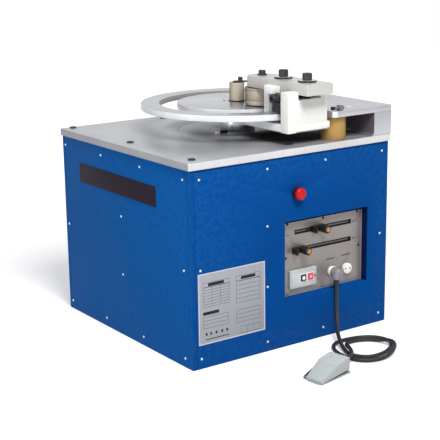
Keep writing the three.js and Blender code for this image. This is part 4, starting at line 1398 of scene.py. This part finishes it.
class BENDER_OT_arm_bolts(bpy.types.Operator):
    """Black socket screws of the arm with knurled heads and bright washers"""
    bl_idname = "bender.arm_bolts"
    bl_label = "Arm bolts"

    def execute(self, context):
        for name in ARM_BOLTS:
            bolt = finish_node(f"arm_bolt_{name}", black_steel(), edge=0.7 * MM)
            dress_faces(bolt, screw_steel(), is_washer_top)
        for name in ("guide_block", "guide_screw", "roller_bolt", "centre_pin", "keeper_plate"):
            finish_node(name, black_steel(), edge=0.7 * MM)
        model = knurled_sleeve("knurl", KNURL_RADIUS * MM, KNURL_BORE * MM, KNURL_LENGTH * MM, KNURL_RIBS)
        foot = BAR_TOP + ARM_WASHER_THICK + KNURL_LIFT
        places = [upright(BAR_MIDDLE, y, foot) for y in ARM_BOLTS.values()]
        knurls = copies(model, places, "arm_bolt_knurls")
        add_on(knurls, black_steel(), "arm")
        # Painted highlight on the ribs' outer faces
        dress_faces(knurls, rib_highlight_steel(), is_rib)
        return {"FINISHED"}


def groove_roller(piece):
    """Cuts the shallow groove below the bending roller's top."""
    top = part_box("bending_roller")[1][2]
    groove(piece, top - GROOVE_FOOT * MM, top - GROOVE_TOP * MM, GROOVE_DEPTH * MM)


class BENDER_OT_rollers(bpy.types.Operator):
    """Middle roller and bending roller"""
    bl_idname = "bender.rollers"
    bl_label = "Rollers"

    def execute(self, context):
        for name, shape in (("centre_roller", None), ("bending_roller", groove_roller)):
            # The rollers carry painted shade on their flanks
            steel = turned_steel(f"{name} steel", "roller", 0.34, axis_centre(name), 0.12, True)
            finish_node(name, steel, edge=0.6 * MM, shape=shape)
        return {"FINISHED"}


class BENDER_OT_sensor(bpy.types.Operator):
    """Home sensor with its white nose"""
    bl_idname = "bender.sensor"
    bl_label = "Home sensor"

    def execute(self, context):
        sensor = finish_node("home_sensor", black_plastic(), edge=0.5 * MM)
        tip = Vector(SENSOR_TIP) * MM
        dress_faces(sensor, white_plastic(), lambda centre, normal: (centre - tip).length < WHITE_NOSE * MM)
        return {"FINISHED"}


# Plates on the cabinet

RATING_FACE = -401.8
RATING_BOX = (-378.0, -122.0, 78.0, 307.0)
RULE_WIDTH = 1.6
RULE_PROUD = 0.3
RULE_BEVEL = 0.12
# Bare tables on the rating plate: left, right, low, high, rows, columns
RATING_TABLES = [
    (-360, -261, 198, 262, 7, 3), (-360, -261, 262, 277, 1, 1), (-234, -141, 189, 260, 5, 1),
    (-234, -141, 260, 277, 1, 1), (-360, -265, 130, 166, 3, 1), (-234, -141, 124, 165, 3, 1),
    (-217, -141, 86, 108, 1, 3),
]
# Dark bars over the tables and at the foot: left, right, low, high
RATING_HEADS = [(-341, -281, 264.5, 274.5), (-216, -160, 264, 274), (-361, -301, 173, 183)]
RATING_FOOT = (-352, -262, 92, 94.5)
MARK_MIDDLES = (-349, -332, -312, -290, -271)
MARK_HALF = 3.2
MARK_LOW, MARK_HIGH = 106, 115
HEAD_LIFT = 0.05


def rules(name, lines, face, material):
    """Thin raised bars on a face that looks forward, each given as left, right, low and high."""
    bars = [
        plate(name, (left, face - RULE_PROUD, low), (right, face, high))
        for left, right, low, high in lines
    ]
    joined = join_pieces(bars, name)
    bevel(joined, RULE_BEVEL * MM, segments=1)
    add_on(joined, material, "machine")


def ruled_table(left, right, low, high, rows, columns):
    """The lines of a bare table with even rows and columns."""
    half = RULE_WIDTH / 2
    lines = []
    for i in range(rows + 1):
        z = low + (high - low) * i / rows
        lines.append((left, right, z - half, z + half))
    for i in range(columns + 1):
        x = left + (right - left) * i / columns
        lines.append((x - half, x + half, low, high))
    return lines


class BENDER_OT_plates(bpy.types.Operator):
    """Bare nameplate and a rating plate with plain ruled tables"""
    bl_idname = "bender.plates"
    bl_label = "Plates"

    def execute(self, context):
        finish_node("nameplate", paint("Nameplate", "nameplate", 0.45), edge=0.5 * MM)
        finish_node("rating_plate", paint("Rating plate", "rating", 0.45), edge=0.4 * MM)
        lines = [line for table in RATING_TABLES for line in ruled_table(*table)]
        ink = paint("Rating plate lines", "rating_lines", 0.5)
        rules("rating_lines", lines, RATING_FACE, ink)
        marks = [(x - MARK_HALF, x + MARK_HALF, MARK_LOW, MARK_HIGH) for x in MARK_MIDDLES]
        dark = paint("Rating plate headings", "rating_heads", 0.5)
        rules("rating_heads", [*RATING_HEADS, *marks, RATING_FOOT], RATING_FACE - HEAD_LIFT, dark)
        rim = front_frame("rating_rim", RATING_BOX, RATING_FACE, proud=0.5, width=4.0)
        add_on(rim, paint("Rating plate rim", "rim", 0.45), "machine")
        return {"FINISHED"}


# Control recess

PLATE_FRONT = -372.0
BOX_FRONT = -380.3
BUTTON_FRONT = -383.8
KNOB_FRONT = -415.6
RECESS_LEFT, RECESS_RIGHT, RECESS_LOW, RECESS_HIGH = -39.0, 313.0, 158.0, 418.0
RECESS_WALL = 3.0
RIM_GAP = 1.2
RIM_BOX = (RECESS_LEFT + RIM_GAP, RECESS_RIGHT - RIM_GAP, RECESS_LOW + RIM_GAP, RECESS_HIGH - RIM_GAP)
# A dark strip along the plate's top edge: painted shade under the recess's top
TOP_SHADE_FOOT = RECESS_HIGH - 13.0
TOP_SHADE_PROUD = 1.4
# Places on the control plate, from the cabinet's middle and the floor
BRIGHT_SCREWS = [(-6.6, 366), (-6.6, 312), (286, 371), (287, 312), (290, 166), (141, 168), (-8, 167)]
DARK_SCREWS = [(-8, 401), (289, 400), (142, 400), (298, 282), (-14, 288)]
BLUE_DOTS = [(274, 368), (275, 310)]
LABEL_STRIPS = [(157, 192, 252, 257), (223, 261, 255, 260)]
KNOBS = {"upper": (129.0, 370.0), "lower": (49.0, 310.0)}
KNOB_END_LIFT = 0.6
SLOT_LEFT, SLOT_RIGHT = 23.0, 262.0
SLOT_HALF = 6.25
SLOT_REACH = 7.2
SLOT_SLACK = 1.0
BEZEL_WIDTH = 1.7
STRIP_LOW, STRIP_HIGH = -3.0, 0.6
STRIP_END = 3.0
SWITCH_RIDGE = (2, 104, 186, 240)
# Each button's place, half its middle's width and its finish
BUTTONS = {"start": (52.0, 5.5, "green_plastic"), "stop": (82.0, 4.0, "red_plastic")}
BUTTON_LEVEL = 213.0
SURROUND_HALF = 14.5
MIDDLE_PROUD = 0.8
OUTLETS = {"first": 180.0, "second": 242.0}
OUTLET_LEVEL = 211.0
PIN_SPREAD = 9.5
PIN_REACH = 3.4


def on_plate(model, spots, name):
    """Copies of a small part at spots on the control plate's front."""
    return copies(model, [forward(x, z, PLATE_FRONT) for x, z in spots], name)


def right_wall(centre, normal):
    """True for the recess liner's right wall."""
    return centre.x > (RECESS_RIGHT - RECESS_WALL) * MM and abs(normal.x) > 0.9


def in_slot(centre, normal):
    """True for the walls of the control plate's two slots."""
    inside = SLOT_LEFT - SLOT_SLACK < centre.x / MM < SLOT_RIGHT + SLOT_SLACK
    level = any(abs(centre.z / MM - z) < SLOT_REACH for x, z in KNOBS.values())
    return inside and level and abs(normal.y) < 0.9


class BENDER_OT_control_plate(bpy.types.Operator):
    """Recess liner, control plate, its rim, screws and blank label strips"""
    bl_idname = "bender.control_plate"
    bl_label = "Control plate"

    def execute(self, context):
        liner = finish_node("recess_liner", cabinet_paint(), edge=0.5 * MM)
        dress_faces(liner, recess_paint(), right_wall)
        face = finish_node("control_plate", control_metal(), edge=0.4 * MM)
        # Painted shade: the slots' walls are dressed black
        dress_faces(face, black_plastic(), in_slot)
        rim = front_frame("control_rim", RIM_BOX, PLATE_FRONT, proud=1.0, width=2.4)
        add_on(rim, screw_steel(), "machine")
        bright = button_head("plate_screw", radius=4.2 * MM, height=2.2 * MM)
        screws = on_plate(bright, BRIGHT_SCREWS, "plate_screws")
        add_on(screws, plate_screw_steel(), "machine")
        dark = button_head("plate_dark_screw", radius=4.4 * MM, height=2.0 * MM)
        screws = on_plate(dark, DARK_SCREWS, "plate_dark_screws")
        add_on(screws, black_steel(), "machine")
        # Painted shade: a dark strip under the recess's top edge
        left, right, _, high = RIM_BOX
        near = (left, PLATE_FRONT - TOP_SHADE_PROUD, TOP_SHADE_FOOT)
        top_shade_strip = plate("plate_gasket", near, (right, PLATE_FRONT, high))
        bevel(top_shade_strip, 0.4 * MM)
        add_on(top_shade_strip, recess_paint(), "machine")
        dot = domed("blue_dot", radius=4 * MM, height=1 * MM, sides=16)
        dots = on_plate(dot, BLUE_DOTS, "blue_dots")
        add_on(dots, moulded("Blue dots", "dot", 0.5), "machine")
        print_grey = moulded("Label strips", "print", 0.5)
        rules("label_strips", LABEL_STRIPS, PLATE_FRONT, print_grey)
        return {"FINISHED"}


def dress_rail(level, height):
    """Black rail with a strip of bare metal that shows in its slot; the black above and below the strip is
    painted shade inside the slot.
    """
    low, high = height + STRIP_LOW, height + STRIP_HIGH
    left, right = SLOT_LEFT + STRIP_END, SLOT_RIGHT - STRIP_END

    def split(piece):
        for edge in (low, high):
            cut_level(piece, edge * MM)
        for end in (left, right):
            cut_level(piece, end * MM, axis=0)

    def is_strip(centre, normal):
        return low < centre.z / MM < high and left < centre.x / MM < right
    rail = finish_node(f"slide_rail_{level}", black_plastic(), edge=0, shape=split)
    dress_faces(rail, rail_metal(), is_strip)


class BENDER_OT_sliders(bpy.types.Operator):
    """Angle sliders on their rails, with orange-ended knobs"""
    bl_idname = "bender.sliders"
    bl_label = "Angle sliders"

    def execute(self, context):
        reach = SLOT_HALF + BEZEL_WIDTH
        for level, (x, z) in KNOBS.items():
            dress_rail(level, z)
            box = (SLOT_LEFT - BEZEL_WIDTH, SLOT_RIGHT + BEZEL_WIDTH, z - reach, z + reach)
            bezel = front_frame(f"slot_bezel_{level}", box, PLATE_FRONT, proud=0.2, width=BEZEL_WIDTH)
            add_on(bezel, black_plastic(), "machine")
            finish_node(f"slider_{level}", black_plastic(), edge=0.6 * MM)
            finish_node(f"knob_{level}", black_plastic(), edge=0.7 * MM)
            cap = domed("knob_cap", radius=8.3 * MM, height=1.6 * MM, sides=32)
            cap = copies(cap, [forward(x, z, KNOB_FRONT + KNOB_END_LIFT)], f"knob_end_{level}")
            add_on(cap, moulded("Knob end", "knob_end", 0.4), f"{level}_knob")
        return {"FINISHED"}


class BENDER_OT_switches(bpy.types.Operator):
    """Switch box with its start and stop buttons and lamp"""
    bl_idname = "bender.switches"
    bl_label = "Switch box"

    def execute(self, context):
        finish_node("switch_box", switch_plastic(), edge=0.8 * MM)
        ridge = front_frame("switch_ridge", SWITCH_RIDGE, BOX_FRONT, proud=0.8, width=1.6)
        add_on(ridge, switch_plastic(), "machine")
        finish_node("green_button", moulded("Start face", "start_face", 0.3), edge=0.8 * MM)
        finish_node("red_button", moulded("Stop face", "stop_face", 0.3), edge=0.8 * MM)
        finish_node("pilot_lamp", red_plastic(), edge=0.5 * MM)
        middles = {"start": white_plastic(), "stop": moulded("Stop middle", "stop_middle", 0.35)}
        for name, (x, half, slot) in BUTTONS.items():
            low, high = BUTTON_LEVEL - SURROUND_HALF, BUTTON_LEVEL + SURROUND_HALF
            box = (x - SURROUND_HALF, x + SURROUND_HALF, low, high)
            surround = front_frame(f"{name}_surround", box, BOX_FRONT, proud=1.0, width=2.8)
            add_on(surround, white_plastic(), "machine")
            near = (x - half, BUTTON_FRONT - MIDDLE_PROUD, BUTTON_LEVEL - half)
            middle = plate(f"{name}_middle", near, (x + half, BUTTON_FRONT, BUTTON_LEVEL + half))
            bevel(middle, 0.4 * MM)
            add_on(middle, middles[name], f"{name}_button")
        return {"FINISHED"}


class BENDER_OT_outlets(bpy.types.Operator):
    """Two round outlets whose pin holes are dressed dark as painted shade"""
    bl_idname = "bender.outlets"
    bl_label = "Outlets"

    def execute(self, context):
        for order, x in OUTLETS.items():
            def in_hole(centre, normal, x=x):
                sideways = abs(abs(centre.x / MM - x) - PIN_SPREAD)
                upwards = abs(centre.z / MM - OUTLET_LEVEL)
                return max(sideways, upwards) < PIN_REACH and normal.y > -0.95
            outlet = finish_node(f"outlet_{order}", white_plastic(), edge=0.6 * MM)
            # Painted shade in the pin holes
            dress_faces(outlet, black_plastic(), in_hole)
        return {"FINISHED"}


class BENDER_OT_estop(bpy.types.Operator):
    """Emergency stop: collar, stem and mushroom cap"""
    bl_idname = "bender.estop"
    bl_label = "Emergency stop"

    def execute(self, context):
        finish_node("estop_collar", black_plastic(), edge=1 * MM)
        finish_node("estop_stem", black_plastic(), edge=0.4 * MM)
        finish_node("estop_cap", red_plastic(), edge=1.6 * MM, segments=3)
        return {"FINISHED"}


# Foot pedal

PEDAL_PLACE = (-166.4, -690.7)
PEDAL_TURN = 10.95
# Along the pedal and up: where its tread begins and ends
PEDAL_KINK = (78.0, 43.0)
PEDAL_HEEL = (134.0, 52.0)
NOSE_LENGTH = 6.0
NOSE_BACK, NOSE_IN = 2.0, 16.0
STUD_ROWS = 6
STUDS_PER_ROW = 7
STUD_STEP = 10.0
STUD_MARGIN = 3.0
STUD_SUNK = 0.2


def stud_places():
    """An even field of studs on the slope between the pedal's kink and its heel."""
    turn = Matrix.Rotation(math.radians(PEDAL_TURN), 4, "Z")
    ground = Matrix.Translation(Vector((*PEDAL_PLACE, 0.0)) * MM) @ turn
    run = PEDAL_HEEL[0] - PEDAL_KINK[0]
    rise = (PEDAL_HEEL[1] - PEDAL_KINK[1]) / run
    tilt = Matrix.Rotation(-math.atan(rise), 4, "Y")
    places = []
    for row in range(STUD_ROWS):
        along = PEDAL_KINK[0] + STUD_MARGIN + row * (run - 2 * STUD_MARGIN) / (STUD_ROWS - 1)
        height = PEDAL_KINK[1] + (along - PEDAL_KINK[0]) * rise - STUD_SUNK
        for k in range(STUDS_PER_ROW):
            side = (k - (STUDS_PER_ROW - 1) / 2) * STUD_STEP
            places.append(ground @ upright(along, side, height) @ tilt)
    return places


def narrow_nose(piece):
    """Draws the nose's far corner in, so that the tread narrows to its front."""
    turn = Matrix.Rotation(math.radians(-PEDAL_TURN), 4, "Z")
    mesh = open_edit(piece, "VERT")
    for vert in mesh.verts:
        own = turn @ (vert.co - Vector((*PEDAL_PLACE, 0.0)) * MM)
        vert.select_set(own.x < NOSE_LENGTH * MM and own.y > 0)
    mesh.select_flush(True)
    bmesh.update_edit_mesh(piece.data)
    bpy.ops.transform.translate(value=turn.inverted() @ Vector((NOSE_BACK * MM, -NOSE_IN * MM, 0.0)))
    leave_edit()


class BENDER_OT_pedal(bpy.types.Operator):
    """Foot pedal: base, studded cover, hinge pin and gland"""
    bl_idname = "bender.pedal"
    bl_label = "Foot pedal"

    def execute(self, context):
        # Painted shade on the cover's sides and base, painted light on its top
        cover = finish_node("pedal_cover", pedal_side_shade_paint(), edge=2.0 * MM, segments=3, shape=narrow_nose)
        dress_faces(cover, pedal_top_paint(), lambda centre, normal: normal.z > 0.35)
        finish_node("pedal_base", pedal_side_shade_paint(), edge=0.6 * MM, shape=narrow_nose)
        finish_node("pedal_hinge_pin", table_steel(), edge=0.3 * MM)
        finish_node("pedal_gland", black_plastic(), edge=0.5 * MM)
        model = domed("stud_model", context.scene.bender_sizes.stud, height=3.0 * MM, sides=12)
        # The studs carry a painted highlight
        add_on(copies(model, stud_places(), "pedal_studs"), stud_highlight_paint(), "pedal")
        return {"FINISHED"}


class BENDER_PT_panel(bpy.types.Panel):
    """Lists the steps that dress the machine"""
    bl_idname = "BENDER_PT_panel"
    bl_label = "Rebar bender"
    bl_space_type = "VIEW_3D"
    bl_region_type = "UI"
    bl_category = "Bender"

    def draw(self, context):
        for step in STEPS:
            self.layout.operator(step.bl_idname)
        for group in GROUPS:
            box = self.layout.box()
            for name in getattr(context.scene, group).__annotations__:
                box.prop(getattr(context.scene, group), name)


STEPS = [
    BENDER_OT_stage, BENDER_OT_cable, BENDER_OT_cabinet, BENDER_OT_panel_screws, BENDER_OT_table,
    BENDER_OT_ring, BENDER_OT_stop, BENDER_OT_rotor, BENDER_OT_arm_bolts, BENDER_OT_rollers,
    BENDER_OT_sensor, BENDER_OT_plates, BENDER_OT_control_plate, BENDER_OT_sliders, BENDER_OT_switches,
    BENDER_OT_outlets, BENDER_OT_estop, BENDER_OT_pedal,
]
GROUPS = {
    "bender_paints": BenderPaints,
    "bender_metals": BenderMetals,
    "bender_plastics": BenderPlastics,
    "bender_sizes": BenderSizes,
}


def register():
    for made in [*GROUPS.values(), *STEPS, BENDER_PT_panel]:
        bpy.utils.register_class(made)
    for name, group in GROUPS.items():
        setattr(bpy.types.Scene, name, PointerProperty(type=group))


def unregister():
    for name in GROUPS:
        delattr(bpy.types.Scene, name)
    for made in reversed([*GROUPS.values(), *STEPS, BENDER_PT_panel]):
        bpy.utils.unregister_class(made)


def main():
    register()
    for step in STEPS:
        family, name = step.bl_idname.split(".")
        getattr(getattr(bpy.ops, family), name)()
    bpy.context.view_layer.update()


if __name__ == "__main__":
    main()
